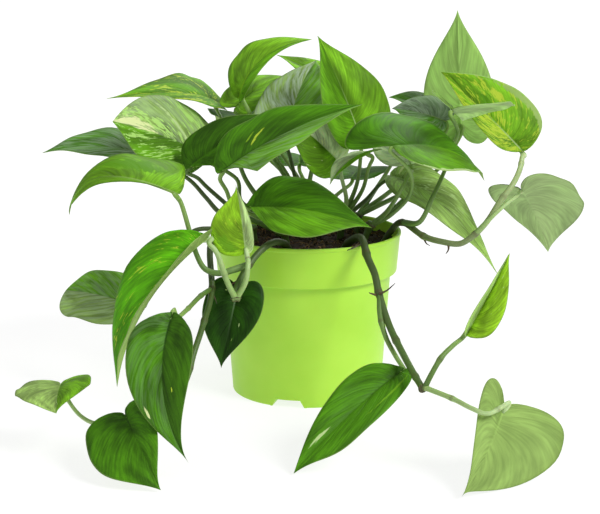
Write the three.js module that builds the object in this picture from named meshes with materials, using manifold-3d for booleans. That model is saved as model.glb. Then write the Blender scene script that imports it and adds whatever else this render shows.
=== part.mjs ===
// A trailing pothos in a plastic nursery pot.
// Millimetres, +Z up, the pot's foot on z = 0, its axis on x = y = 0, the front towards -Y.
import * as THREE from 'three';
import { mergeVertices } from 'three/addons/utils/BufferGeometryUtils.js';
import Module from 'manifold-3d';

const wasm = await Module();
wasm.setup();

// ---- driving dimensions -------------------------------------------------------------

const GAP = 0.3; // clear space between pieces that touch

const POT = {
  height: 130, // foot to rim
  rimRadius: 75,
  wall: 1.8,
  floor: 2,
  footRadius: 60,
  bodyTopRadius: 67,
  collarBottomRadius: 71.7,
  collarBottom: 98, // height of the step under the collar
  collarTopRadius: 74.3,
  lipHeight: 3,
  segments: 48,
};

// Four pockets moulded into the foot, which let water out and lift the drain holes.
const POCKET = {
  count: 4,
  firstAngle: -104.6, // degrees, a little left of the front
  outerWidth: 27,
  topWidth: 19.5,
  height: 6,
  innerRadius: 36,
  drainRadius: 4,
  drainAt: 47,
};

const SOIL = {
  top: 121.5,
  bump: 2.2,
  rings: 5,
  segments: 32,
};

const BLADE = {
  thickness: 0.8,
  rows: 8,
  columns: 2, // in each half
};

const STEM = {
  sides: 5,
  stepLength: 12,
  holeClearance: 0.5,
};

// What a leaf has where its own entry doesn't say. Angles are degrees, the rest are shares
// of the blade's length: width over the whole blade, bend and sweep of the midrib out of and
// in the blade's plane, hook the place of its bend, lobe how far the shoulders reach behind
// the petiole, belly the place of the widest part, point how blunt the tip is.
const LEAF_DEFAULTS = {
  width: 0.72,
  bend: 0.12,
  hook: 0.5,
  sweep: 0,
  fold: 14,
  curl: -16,
  lobe: 0.16,
  belly: 0.24,
  point: 0.16,
  wave: 0.01,
  waves: 2.5,
  lift: 0,
  scale: 1,
};

// Every blade: base is where the petiole meets it, tip its drip tip, face the way that its
// upper side looks. left and right hold what differs in one half, seen along base to tip.
const LEAVES = {
  leaf_01: {
    base: [-122, 25, 183], tip: [-210, 5, 191], face: [0.1, -0.26, 0.97], bend: 0.09, width: 0.7,
    lobe: 0.08,
  },
  leaf_02: {
    base: [-75, 68, 223], tip: [-160, 22, 232], face: [-0.1, -0.4, 0.9], bend: 0.075, hook: 0.25,
    width: 0.64, lobe: 0.04, left: { belly: 0.14, scale: 0.85 },
    right: { point: 0.02, belly: 0.16, scale: 1.17, lobe: 0.2 },
  },
  leaf_03: {
    base: [-80, 22, 185], tip: [-148, -45, 223], face: [-0.3, -0.8, 0.55], bend: 0.05, width: 0.9,
    fold: 0, curl: -12, lobe: 0.03, left: { lobe: -0.1, belly: 0.5, scale: 0.65, point: 0.8 },
    right: { point: 0.62, lobe: 0.34, scale: 0.97, belly: 0.2 },
  },
  leaf_04: {
    base: [-98, -80, 174], tip: [-180, -66, 155], face: [-0.15, -0.5, 0.85], bend: 0.345, hook: 0.68,
    width: 0.6, fold: 4, left: { belly: 0.62, point: 0.9, scale: 0.42, lobe: -0.35 },
    right: { scale: 1.62, point: -0.22, lobe: 0.06, belly: -0.06 },
  },
  leaf_05: {
    base: [-91, -30, 185], tip: [-23, -15, 226], face: [-0.3, -0.85, 0.4], bend: 0.08, width: 0.62,
    lobe: 0.02, right: { lobe: -0.15, scale: 0.6 }, left: { scale: 0.82 },
  },
  leaf_06: {
    base: [-65, -60, 187], tip: [41, -60, 238], face: [-0.25, -0.5, 0.8], bend: 0.06, width: 0.62,
    fold: 18, lobe: 0.02, left: { scale: 0.82 }, right: { lobe: -0.16, scale: 0.85 },
  },
  leaf_07: {
    base: [-54, 30, 233], tip: [4, 45, 277], face: [-0.5, -0.7, 0.5], bend: 0.25, hook: 0.37,
    width: 0.62, fold: 5, lobe: 0.05, right: { scale: 0.35 }, left: { scale: 1.08, point: 0.38 },
  },
  leaf_08: {
    base: [-56, 45, 224], tip: [-15, 90, 242], face: [0, -0.35, 0.93], bend: 0.08, width: 0.7,
    left: { scale: 0.88 },
  },
  leaf_09: {
    base: [26, 80, 235], tip: [-25, 90, 260], face: [0, -0.35, 0.93], bend: 0.03, width: 0.6,
  },
  leaf_10: {
    base: [-17, -5, 208], tip: [8, 60, 259], face: [-0.25, -0.7, 0.65], bend: 0.08, width: 0.78,
    left: { scale: 0.88 },
  },
  leaf_11: {
    base: [42, -10, 204], tip: [8, 0, 284], face: [0.2, -0.9, 0.3], bend: 0.05, width: 0.7, lobe: 0.04,
    left: { fold: 40 }, right: { fold: 8, scale: 1.06 },
  },
  leaf_12: {
    base: [66, -80, 210], tip: [139, -15, 172], face: [0.25, -0.4, 0.88], bend: 0.12, width: 0.78,
    fold: 9, lift: -0.24, left: { lobe: 0.3 }, right: { lobe: 0.05, scale: 0.82 },
  },
  leaf_13: {
    base: [110, 40, 212], tip: [70, 60, 219], face: [0, -0.6, 0.8], bend: 0.06, width: 0.85,
    right: { scale: 1.05, point: 0.4, belly: 0.34 },
  },
  leaf_14: {
    base: [122, 84, 199], tip: [69, 94, 224], face: [0, -0.3, 0.95], bend: 0.1, width: 0.7,
    right: { scale: 1.1, point: 0.5, belly: 0.36 },
  },
  leaf_15: {
    base: [111, -30, 230], tip: [123, 7, 216], face: [0, 0, 1], bend: 0.03, width: 1.3, curl: -4,
    left: { fold: 44, scale: 0.85 }, right: { fold: 12, scale: 1.75 }, lobe: 0.29,
  },
  leaf_16: {
    base: [127, 59, 203], tip: [124, 79, 298], face: [0, 0.95, 0.2], bend: 0.04, width: 0.62, fold: 8,
    left: { scale: 0.94 },
  },
  leaf_17: {
    base: [170, 11, 193], tip: [108, 41, 251], face: [0.1, -0.95, 0.3], bend: 0.05, width: 0.7,
    lobe: 0.05, left: { fold: 30, scale: 0.52, lobe: -0.02 },
    right: { fold: 8, scale: 1.07, point: 0.4 },
  },
  leaf_18: {
    base: [166, -31, 168], tip: [199, 39, 103], face: [0.25, 0.62, 0.74], bend: 0.05, width: 0.82,
    left: { scale: 0.8, lobe: 0.02 }, right: { lobe: 0.32, scale: 1.03 },
  },
  leaf_19: {
    base: [69, 5, 172], tip: [152, -15, 96], face: [0.55, -0.45, 0.65], bend: 0.1, hook: 0.31,
    width: 0.54, point: 0.05, lobe: 0.03,
  },
  leaf_20: {
    base: [-75, -110, 146], tip: [-141, -120, 36], face: [-0.6, -0.7, 0.3], bend: 0.15, width: 0.54,
    lobe: 0.04, left: { fold: 60, scale: 1.1 },
    right: { fold: 6, lobe: -0.02, scale: 1.1, point: 0.2 },
  },
  leaf_21: {
    base: [-128, -52, 79], tip: [-197, 20, 75], face: [-0.1, -0.75, 0.65], bend: 0.05, width: 0.58,
    point: 0.9, belly: 0.4, lobe: 0.03, left: { scale: 0.92, point: 1.1 }, right: { scale: 0.78 },
  },
  leaf_22: {
    base: [-93, -204, 112], tip: [-82, -219, 12], face: [0, -1, 0.1], bend: 0.06, sweep: 0.11,
    width: 0.5, lobe: 0.02, left: { scale: 0.8, point: 0, lobe: 0.01 },
    right: { point: 0, lobe: -0.02 },
  },
  leaf_23: {
    base: [-53, -88, 100], tip: [-65, -96, 43], face: [0, -1, 0.2], bend: 0.05, width: 0.78,
    lobe: 0.24, left: { belly: 0.12, point: 0, lobe: 0.2, scale: 0.95 }, right: { lobe: 0.18 },
  },
  leaf_24: {
    base: [-127, -195, 38], tip: [-99, -245, 2], face: [-0.1, -0.8, 0.6], bend: 0.08, width: 0.82,
    left: { scale: 0.62, point: 0 }, right: { scale: 1.24, belly: 0.36, point: 0.4 },
  },
  leaf_25: {
    base: [-178, -152, 48], tip: [-175, -196, 40], face: [-0.13, -0.4, 0.9], bend: 0.06, width: 1.2,
    lobe: 0.5, lift: 0, right: { scale: 1.22, lobe: 0.42, belly: 0.08, point: 0.4 }, fold: 6,
    curl: -10, left: { scale: 0.86, lobe: 0.4, point: 0 },
  },
  leaf_26: {
    base: [68, -152, 58], tip: [-10, -213, 2], face: [-0.2, -0.8, 0.55], bend: 0.08, width: 0.42,
    lobe: 0.04, left: { scale: 0.74, point: 0.4, belly: 0.48 },
    right: { lobe: -0.04, point: 0.45, scale: 0.9 },
  },
  leaf_27: {
    base: [112, -170, 91], tip: [143, -150, 144], face: [0.1, -0.98, 0.1], bend: 0.03, width: 0.62,
    fold: 58, lobe: 0.05, left: { scale: 0.45 }, right: { lobe: 0.02 },
  },
  leaf_28: {
    base: [133, -215, 49], tip: [101, -267, 3], face: [0.24, 0.86, 0.44], bend: 0.05, width: 1.2,
    fold: 14, left: { scale: 0.42, lobe: 0.22, belly: -0.1, point: 0 },
    right: { scale: 1.15, lobe: 0.16, belly: 0.04, point: -0.05, fold: 2 }, sweep: 0.07,
  },
  leaf_29: {
    base: [-45, -50, 158], tip: [48, -80, 148], face: [0, -0.62, 0.78], bend: 0.08, width: 0.68,
    lobe: 0.02, right: { lobe: -0.15, belly: 0.42, scale: 0.93 }, left: { scale: 0.9, lobe: -0.02 },
  },
  leaf_30: {
    base: [-46, -92, 133], tip: [-53, -96, 184], face: [0.2, -0.95, 0.2], bend: 0.05, width: 0.62,
    lobe: 0.06, left: { scale: 1.55, lobe: 0.05, belly: 0.38, point: -0.05 }, right: { scale: 0.45 },
  },
  leaf_31: {
    base: [25, -15, 187], tip: [-21, -25, 228], face: [0.1, -0.8, 0.6], bend: 0.05, width: 0.8,
    lobe: 0.03,
  },
  leaf_32: {
    base: [47, -20, 195], tip: [17, -55, 176], face: [-0.5, -0.3, 0.8], bend: 0.1, width: 0.6,
  },
  leaf_33: {
    base: [80, -20, 187], tip: [63, 35, 214], face: [0, -0.7, 0.7], bend: 0.05, width: 0.75,
    lobe: 0.05,
  },
  leaf_34: {
    base: [-38, 68, 201], tip: [-80, 152, 196], face: [-0.1, 0.35, 0.93], bend: 0.1, width: 0.72,
  },
  leaf_35: {
    base: [-6, 80, 170], tip: [-6, 156, 157], face: [0, 0.3, 0.95], bend: 0.1, width: 0.72,
  },
  leaf_36: {
    base: [38, 72, 160], tip: [60, 144, 146], face: [0.1, 0.3, 0.95], bend: 0.1, width: 0.72,
  },
  leaf_37: {
    base: [78, 82, 188], tip: [118, 146, 176], face: [0.1, 0.3, 0.95], bend: 0.1, width: 0.66,
  },
  leaf_38: {
    base: [-37, 70, 186], tip: [-86, 140, 168], face: [-0.1, 0.6, 0.8], bend: 0.12, width: 0.66,
  },
  leaf_39: {
    base: [-15, 112, 98], tip: [-28, 124, 22], face: [0, 1, 0.2], bend: 0.06, width: 0.74,
  },
  leaf_40: {
    base: [38, 112, 92], tip: [50, 122, 14], face: [0.1, 1, 0.1], bend: 0.06, width: 0.74,
  },
};

// Every stem with the petioles that grow from it. A branch with a leaf ends just under that
// blade, or just in front of it where front is set. radius is at the start and at the end.
const STEMS = {
  left_vine: [
    { radius: [2.8, 2.4], tone: 'dark',
      path: [[-10, -50, 113], [-13, -56, 124], [-19, -65, 133], [-27, -74, 135], [-37, -84, 129],
        [-47, -94, 117], [-53, -101, 106], [-53, -104, 99]] },
    { radius: [1.8, 1.4], tone: 'dark', leaf: 'leaf_23', front: true,
      path: [[-53, -104, 100], [-53, -100, 105]] },
    { radius: [2.3, 1.7], tone: 'pale', leaf: 'leaf_20',
      path: [[-53, -104, 99], [-59, -110, 113], [-66, -116, 136], [-72, -114, 143]] },
    { radius: [2.3, 1.6], tone: 'pale', leaf: 'leaf_30', front: true,
      path: [[-53, -104, 99], [-46, -106, 112], [-44, -104, 124]] },
    { radius: [2.2, 1.7], tone: 'green', leaf: 'leaf_04',
      path: [[-43, -90, 122], [-56, -96, 119], [-66, -98, 117], [-76, -97, 120], [-82, -96, 130],
        [-87, -93, 146], [-92, -89, 163]] },
  ],
  trailing_vine: [
    { radius: [2.6, 2], tone: 'dark',
      path: [[-44, -14, 112], [-58, -30, 129], [-66, -42, 136], [-74, -62, 128], [-71, -104, 105],
        [-76, -135, 87], [-81, -152, 73], [-88, -168, 52], [-101, -178, 42], [-114, -184, 38],
        [-125, -188, 36]] },
    { radius: [1.7, 1.4], tone: 'green', leaf: 'leaf_24',
      path: [[-125, -188, 36], [-126, -191, 36]] },
    { radius: [1.7, 1.3], tone: 'pale', leaf: 'leaf_25',
      path: [[-125, -188, 36], [-137, -188, 30], [-150, -182, 28], [-162, -170, 30], [-172, -157, 37]] },
    { radius: [1.9, 1.5], tone: 'green', leaf: 'leaf_22',
      path: [[-72, -103, 106], [-78, -128, 107], [-85, -172, 108], [-90, -196, 109]] },
  ],
  left_stem: [
    { radius: [3, 2.4], tone: 'dark',
      path: [[-40, -2, 112], [-44, -4, 134]] },
    { radius: [1.9, 1.5], tone: 'dark', leaf: 'leaf_01',
      path: [[-44, -4, 132], [-67, -14, 145], [-80, -6, 157], [-93, 4, 169], [-112, 18, 178]] },
    { radius: [1.9, 1.5], tone: 'dark', leaf: 'leaf_21', front: true,
      path: [[-44, -4, 132], [-69, -40, 139], [-89, -50, 138], [-108, -57, 116], [-123, -56, 92]] },
    { radius: [1.9, 1.5], tone: 'dark', leaf: 'leaf_05',
      path: [[-44, -4, 132], [-62, -24, 154], [-77, -30, 169], [-85, -30, 177]] },
  ],
  left_crown: [
    { radius: [3, 2.4], tone: 'dark',
      path: [[-22, 8, 112], [-24, 6, 140]] },
    { radius: [1.9, 1.5], tone: 'green', leaf: 'leaf_03',
      path: [[-24, 6, 136], [-52, 18, 148], [-57, 28, 166]] },
    { radius: [1.9, 1.5], tone: 'green', leaf: 'leaf_02',
      path: [[-24, 6, 136], [-49, 22, 166], [-60, 30, 197]] },
  ],
  front_crown: [
    { radius: [3, 2.4], tone: 'dark',
      path: [[-14, -24, 112], [-18, -27, 134]] },
    { radius: [2, 1.6], tone: 'green', leaf: 'leaf_06',
      path: [[-18, -27, 132], [-53, -44, 153], [-62, -54, 172]] },
    { radius: [2, 1.6], tone: 'green', leaf: 'leaf_29',
      path: [[-18, -27, 132], [-35, -44, 148]] },
  ],
  middle_crown: [
    { radius: [3, 2.4], tone: 'dark',
      path: [[2, 18, 112], [0, 16, 140]] },
    { radius: [1.9, 1.5], tone: 'green', leaf: 'leaf_08',
      path: [[0, 16, 136], [-14, 32, 165], [-32, 44, 190], [-50, 48, 214]] },
    { radius: [1.9, 1.5], tone: 'green', leaf: 'leaf_07',
      path: [[0, 16, 136], [-15, 18, 165], [-32, 24, 192], [-47, 26, 222]] },
    { radius: [1.9, 1.5], tone: 'dark', leaf: 'leaf_10',
      path: [[0, 16, 136], [-9, 8, 169], [-14, 0, 190]] },
    { radius: [1.9, 1.5], tone: 'green', leaf: 'leaf_09',
      path: [[0, 16, 136], [3, 38, 167], [12, 56, 192], [20, 68, 212]] },
  ],
  right_crown: [
    { radius: [3.2, 2.6], tone: 'dark',
      path: [[26, 4, 112], [28, 2, 142]] },
    { radius: [1.9, 1.5], tone: 'pale', leaf: 'leaf_31',
      path: [[28, 2, 138], [31, -6, 155], [27, -12, 174]] },
    { radius: [1.9, 1.5], tone: 'green', leaf: 'leaf_11',
      path: [[28, 2, 138], [39, -2, 166], [42, -6, 189]] },
    { radius: [1.9, 1.5], tone: 'green', leaf: 'leaf_32',
      path: [[28, 2, 138], [43, -6, 162], [48, -13, 182]] },
    { radius: [1.9, 1.5], tone: 'dark', leaf: 'leaf_19',
      path: [[28, 2, 138], [47, 10, 152], [57, 12, 163]] },
  ],
  right_stem: [
    { radius: [3, 2.4], tone: 'dark',
      path: [[40, -16, 112], [46, -18, 128], [51, -19, 140]] },
    { radius: [1.9, 1.2], tone: 'green', leaf: 'leaf_12',
      path: [[51, -19, 138], [66, -26, 148], [79, -40, 166], [77, -63, 188]] },
    { radius: [1.9, 1.5], tone: 'green', leaf: 'leaf_33',
      path: [[51, -19, 138], [62, -28, 150], [72, -42, 170], [79, -33, 182]] },
    { radius: [1.9, 1.5], tone: 'green', leaf: 'leaf_13',
      path: [[51, -19, 138], [73, 10, 148], [91, 26, 165], [104, 32, 189]] },
  ],
  right_vine: [
    { radius: [2.6, 1.9], tone: 'green', leaf: 'leaf_17',
      path: [[56, -6, 112], [66, -10, 130], [75, -16, 139], [90, -40, 133], [104, -52, 131],
        [117, -58, 131], [128, -60, 139], [137, -60, 149], [146, -60, 164], [156, -54, 176],
        [163, -40, 185], [168, -16, 191]] },
    { radius: [1.8, 1.4], tone: 'pale', leaf: 'leaf_18',
      path: [[128, -60, 139], [138, -63, 151], [150, -58, 161], [160, -48, 166]] },
    { radius: [1.9, 1.5], tone: 'green', leaf: 'leaf_15',
      path: [[75, -16, 139], [87, -38, 144], [97, -34, 163], [107, -18, 180], [114, -11, 198],
        [117, -17, 212]] },
  ],
  front_vine: [
    { radius: [3.1, 2.3], tone: 'dark',
      path: [[24, -30, 112], [32, -46, 129], [41, -62, 136], [45, -84, 126], [50, -98, 116],
        [53, -110, 103], [60, -130, 84], [70, -158, 68], [77, -180, 59], [80, -190, 56]] },
    { radius: [2.1, 1.6], tone: 'green', leaf: 'leaf_26',
      path: [[53, -109, 105], [53, -122, 91], [57, -132, 77], [64, -141, 65]] },
    { radius: [2, 1.6], tone: 'green', leaf: 'leaf_27',
      path: [[81, -190, 56], [85, -190, 65], [93, -184, 77], [102, -177, 84]] },
    { radius: [1.9, 1.5], tone: 'pale', leaf: 'leaf_28',
      path: [[81, -190, 57], [99, -206, 54], [111, -222, 52], [122, -227, 50]] },
  ],
  back_stem: [
    { radius: [3, 2.4], tone: 'dark',
      path: [[10, 42, 112], [10, 46, 138]] },
    { radius: [1.9, 1.5], tone: 'green', leaf: 'leaf_34',
      path: [[10, 46, 134], [-14, 52, 173], [-32, 52, 196]] },
    { radius: [1.9, 1.5], tone: 'green', leaf: 'leaf_35',
      path: [[10, 46, 134], [-2, 62, 158]] },
    { radius: [1.9, 1.5], tone: 'green', leaf: 'leaf_36',
      path: [[10, 46, 134], [25, 60, 147]] },
    { radius: [1.9, 1.5], tone: 'green', leaf: 'leaf_38',
      path: [[10, 46, 134], [-18, 66, 163]] },
  ],
  back_right_stem: [
    { radius: [3, 2.4], tone: 'dark',
      path: [[40, 28, 112], [42, 30, 138]] },
    { radius: [1.9, 1.5], tone: 'green', leaf: 'leaf_37',
      path: [[42, 30, 136], [68, 64, 168]] },
    { radius: [1.9, 1.5], tone: 'green', leaf: 'leaf_14',
      path: [[42, 30, 136], [78, 52, 160], [106, 66, 196]] },
    { radius: [1.9, 1.5], tone: 'green', leaf: 'leaf_16',
      path: [[42, 30, 136], [84, 40, 155], [111, 56, 172]] },
  ],
  back_vine: [
    { radius: [2.6, 2], tone: 'green', leaf: 'leaf_40',
      path: [[-8, 54, 112], [-9, 66, 129], [-9, 77, 136], [-6, 96, 124], [0, 106, 108], [10, 110, 96],
        [22, 112, 86]] },
    { radius: [1.9, 1.5], tone: 'green', leaf: 'leaf_39',
      path: [[-3, 102, 116], [-8, 103, 107]] },
  ],
};

// ---- small helpers ------------------------------------------------------------------

const radians = THREE.MathUtils.degToRad;
const vec = (p) => new THREE.Vector3(...p);

function toManifold(geometry) {
  const plain = geometry.clone();
  plain.deleteAttribute('normal');
  plain.deleteAttribute('uv');
  const merged = mergeVertices(plain, 1e-4);
  return new wasm.Manifold(
    new wasm.Mesh({
      numProp: 3,
      vertProperties: new Float32Array(merged.attributes.position.array),
      triVerts: new Uint32Array(merged.index.array),
    }),
  );
}

function toGeometry(solid) {
  const mesh = solid.getMesh();
  const geometry = new THREE.BufferGeometry();
  geometry.setAttribute('position', new THREE.BufferAttribute(new Float32Array(mesh.vertProperties), 3));
  geometry.setIndex(new THREE.BufferAttribute(new Uint32Array(mesh.triVerts), 1));
  return geometry;
}

function indexed(points, triangles) {
  const geometry = new THREE.BufferGeometry();
  geometry.setAttribute('position', new THREE.Float32BufferAttribute(points.flatMap((p) => p.toArray()), 3));
  geometry.setIndex(triangles.flat());
  return geometry;
}

function turned(profile, segments) {
  const geometry = new THREE.LatheGeometry(profile.map(([r, z]) => new THREE.Vector2(r, z)), segments);
  return geometry.rotateX(Math.PI / 2);
}

function bezier(a, b, c, d, t) {
  const s = 1 - t;
  return s * s * s * a + 3 * s * s * t * b + 3 * s * t * t * c + t * t * t * d;
}

// ---- leaf blades --------------------------------------------------------------------

function leafFrame(leaf) {
  const base = vec(leaf.base);
  const tip = vec(leaf.tip);
  const chord = tip.clone().sub(base);
  const length = chord.length();
  chord.normalize();
  const face = vec(leaf.face);
  face.addScaledVector(chord, -face.dot(chord)).normalize();
  const side = chord.clone().cross(face);
  const middle = base.clone()
    .addScaledVector(chord, length * leaf.hook)
    .addScaledVector(face, length * leaf.bend * 2)
    .addScaledVector(side, length * leaf.sweep * 2);
  return { base, middle, tip, length, face };
}

// Half outline, as shares of the half width and of the length, from the sinus to the tip.
function outline(t, half) {
  const { lobe, belly, point } = half;
  if (t <= 0.5) {
    const u = t * 2;
    return [bezier(0, 0.22, 1, 1, u), bezier(0, -lobe * 1.25, -lobe * 1.45, belly, u)];
  }
  const u = t * 2 - 1;
  return [bezier(1, 1, point, 0, u), bezier(belly, belly + 0.36, 0.8, 1, u)];
}

// The point of the curved blade that lies x across and y along the flat leaf.
function bladePoint(leaf, frame, x, y) {
  const { base, middle, tip, length, face } = frame;
  const half = x < 0 ? leaf.left : leaf.right;
  const t = THREE.MathUtils.clamp(y / length, 0, 1);
  const curve = new THREE.QuadraticBezierCurve3(base, middle, tip);
  const along = curve.getTangent(t);
  const centre = curve.getPoint(t).addScaledVector(along, Math.min(y, 0));
  const across = along.clone().cross(face).normalize();
  const up = across.clone().cross(along);
  const halfWidth = (length * leaf.width) / 2;
  const r = Math.abs(x);
  const fold = radians(half.fold);
  const k = radians(leaf.curl) / halfWidth;
  const out = (Math.sin(fold + k * r) - Math.sin(fold)) / k;
  let rise = (Math.cos(fold) - Math.cos(fold + k * r)) / k;
  const phase = 2 * Math.PI * leaf.waves * (y / length) + (x > 0 ? 1.7 : 0);
  rise += length * leaf.wave * (r / halfWidth) ** 2 * Math.sin(phase);
  rise += length * leaf.lift * 8 * Math.min(y / length, 0) ** 2;
  return centre.addScaledVector(across, Math.sign(x) * out).addScaledVector(up, rise);
}

function bladeNormal(leaf, frame, x, y) {
  const e = 0.4;
  const dx = bladePoint(leaf, frame, x + e, y).sub(bladePoint(leaf, frame, x - e, y));
  const dy = bladePoint(leaf, frame, x, y + e).sub(bladePoint(leaf, frame, x, y - e));
  return dx.cross(dy).normalize();
}

function fullLeaf(entry) {
  const leaf = { ...LEAF_DEFAULTS, ...entry };
  leaf.left = { ...leaf, ...entry.left };
  leaf.right = { ...leaf, ...entry.right };
  return leaf;
}

// One closed thin body: both faces have the same triangles, joined by a rim.
function bladeGeometry(leaf) {
  const { rows, columns, thickness } = BLADE;
  const frame = leafFrame(leaf);
  const halfWidth = (frame.length * leaf.width) / 2;
  const flat = [[0, 0]];
  for (let i = 1; i < rows; i += 1) {
    const t = i / rows;
    const midrib = t ** 2.2;
    for (let j = -columns; j <= columns; j += 1) {
      const half = j < 0 ? leaf.left : leaf.right;
      const [w, l] = outline(t, half);
      const u = Math.abs(j) / columns;
      flat.push([Math.sign(j) * w * halfWidth * half.scale * u, frame.length * (midrib * (1 - u) + l * u)]);
    }
  }
  flat.push([0, frame.length]);
  const perRow = 2 * columns + 1;
  const at = (i, j) => (i === 0 ? 0 : i === rows ? flat.length - 1 : 1 + (i - 1) * perRow + j);
  const faceTriangles = [];
  const rim = [];
  for (let i = 0; i < rows; i += 1) {
    for (let j = 0; j < perRow - 1; j += 1) {
      const [a, b, c, d] = [at(i, j), at(i, j + 1), at(i + 1, j + 1), at(i + 1, j)];
      if (a !== b) faceTriangles.push([a, b, c]);
      if (c !== d) faceTriangles.push([a, c, d]);
    }
    rim.push([at(i + 1, 0), at(i, 0)], [at(i, perRow - 1), at(i + 1, perRow - 1)]);
  }
  const middle = flat.map(([x, y]) => bladePoint(leaf, frame, x, y));
  const normals = flat.map(([x, y]) => bladeNormal(leaf, frame, x, y));
  const top = middle.map((p, i) => p.clone().addScaledVector(normals[i], thickness / 2));
  const bottom = middle.map((p, i) => p.clone().addScaledVector(normals[i], -thickness / 2));
  const n = flat.length;
  const triangles = [];
  for (const [a, b, c] of faceTriangles) triangles.push([a, b, c], [a + n, c + n, b + n]);
  for (const [a, b] of rim) triangles.push([b, a, a + n], [b, a + n, b + n]);
  return indexed([...top, ...bottom], triangles);
}

// ---- stems and petioles -------------------------------------------------------------

// The last points of a petiole: it comes up under the blade, or in front of it, and stops
// a gap short of it.
function petioleEnd(leaf, front, radius) {
  const frame = leafFrame(leaf);
  const along = frame.middle.clone().sub(frame.base).normalize();
  const across = along.clone().cross(frame.face).normalize();
  const up = across.clone().cross(along).multiplyScalar(front ? 1 : -1);
  const reach = BLADE.thickness / 2 + GAP + radius;
  return [
    frame.base.clone().addScaledVector(up, 1.6 * (radius + 1.2)).addScaledVector(along, -5),
    frame.base.clone().addScaledVector(up, reach).addScaledVector(along, 2),
  ];
}

function branchPoints(branch) {
  const points = branch.path.map(vec);
  if (branch.leaf) points.push(...petioleEnd(leaves[branch.leaf], branch.front, branch.radius[1]));
  return points;
}

// A tapering round bar along a smooth curve, closed at both ends.
function barGeometry(points, radius, stepLength = STEM.stepLength) {
  const curve = new THREE.CatmullRomCurve3(points, false, 'catmullrom', 0.5);
  const steps = Math.max(2, Math.round(curve.getLength() / stepLength));
  const rings = [];
  let up = new THREE.Vector3();
  for (let i = 0; i <= steps; i += 1) {
    const t = i / steps;
    const along = curve.getTangent(t);
    if (i === 0) up = new THREE.Vector3(0.31, 0.87, 0.38).cross(along);
    up.addScaledVector(along, -up.dot(along)).normalize();
    const side = along.clone().cross(up);
    const r = THREE.MathUtils.lerp(radius[0], radius[1], t);
    const centre = curve.getPoint(t);
    for (let k = 0; k < STEM.sides; k += 1) {
      const a = (2 * Math.PI * k) / STEM.sides;
      rings.push(centre.clone().addScaledVector(up, r * Math.cos(a)).addScaledVector(side, r * Math.sin(a)));
    }
  }
  const triangles = [];
  const n = STEM.sides;
  for (let i = 0; i < steps; i += 1) {
    for (let k = 0; k < n; k += 1) {
      const [a, b] = [i * n + k, i * n + ((k + 1) % n)];
      triangles.push([a, b, b + n], [a, b + n, a + n]);
    }
  }
  const last = steps * n;
  for (let k = 1; k < n - 1; k += 1) {
    triangles.push([0, k + 1, k], [last, last + k, last + k + 1]);
  }
  return indexed(rings, triangles);
}

function stemSolid(branches) {
  const bars = branches.map((branch) => toManifold(barGeometry(branchPoints(branch), branch.radius)));
  return bars.reduce((all, bar) => all.add(bar));
}

// ---- pot ----------------------------------------------------------------------------

const collarInner = POT.collarBottomRadius - POT.wall;
const bodyInner = POT.bodyTopRadius - POT.wall;
const stepInner = POT.collarBottom + POT.wall;
const lipBottom = POT.height - POT.lipHeight;

const potOuter = [
  [0, 0],
  [POT.footRadius - 1.2, 0],
  [POT.footRadius, 1.2],
  [POT.bodyTopRadius, POT.collarBottom],
  [POT.collarBottomRadius - 0.8, POT.collarBottom],
  [POT.collarBottomRadius, POT.collarBottom + 0.8],
  [POT.collarTopRadius, lipBottom],
  [POT.rimRadius, lipBottom + 0.7],
  [POT.rimRadius, POT.height - 1],
  [POT.rimRadius - 0.9, POT.height],
];

const potInner = [
  [POT.rimRadius - 2.2, POT.height],
  [POT.collarTopRadius - POT.wall, lipBottom],
  [collarInner, stepInner],
  [bodyInner, stepInner],
  [POT.footRadius - POT.wall, POT.floor],
  [0, POT.floor],
];

// A trapezium along one spoke, from an inner radius to beyond the wall, grown by extra.
function pocketSolid(angle, extra, outerRadius) {
  const { outerWidth, topWidth, height, innerRadius } = POCKET;
  const low = outerWidth / 2 + extra;
  const high = topWidth / 2 + extra;
  const shape = new THREE.Shape();
  shape.moveTo(-low, -1);
  shape.lineTo(low, -1);
  shape.lineTo(high, height + extra);
  shape.lineTo(-high, height + extra);
  shape.closePath();
  const start = innerRadius - extra;
  const geometry = new THREE.ExtrudeGeometry(shape, { depth: outerRadius - start, bevelEnabled: false });
  geometry.rotateX(Math.PI / 2).rotateZ(Math.PI);
  geometry.translate(0, start, 0).rotateZ(angle - Math.PI / 2);
  return toManifold(geometry);
}

function drainSolid(angle) {
  const geometry = new THREE.CylinderGeometry(POCKET.drainRadius, POCKET.drainRadius, 30, 10);
  geometry.rotateX(Math.PI / 2);
  geometry.translate(POCKET.drainAt * Math.cos(angle), POCKET.drainAt * Math.sin(angle), 0);
  return toManifold(geometry);
}

const pocketAngles = Array.from({ length: POCKET.count }, (_, i) =>
  radians(POCKET.firstAngle + (360 / POCKET.count) * i),
);

function potSolid() {
  const outside = toManifold(turned([...potOuter, [0, POT.height]], POT.segments));
  let pot = toManifold(turned([...potOuter, ...potInner], POT.segments));
  for (const angle of pocketAngles) {
    pot = pot.add(pocketSolid(angle, POT.wall, POT.rimRadius).intersect(outside));
  }
  for (const angle of pocketAngles) {
    pot = pot.subtract(pocketSolid(angle, 0, POT.rimRadius + 5)).subtract(drainSolid(angle));
  }
  return pot;
}

// ---- soil ---------------------------------------------------------------------------

function soilHeight(x, y) {
  const bumps = Math.sin(x * 0.19 + 0.7) * Math.cos(y * 0.16) + 0.5 * Math.sin(x * 0.43 - y * 0.37 + 1.9);
  return SOIL.top + SOIL.bump * 0.6 * bumps;
}

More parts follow.
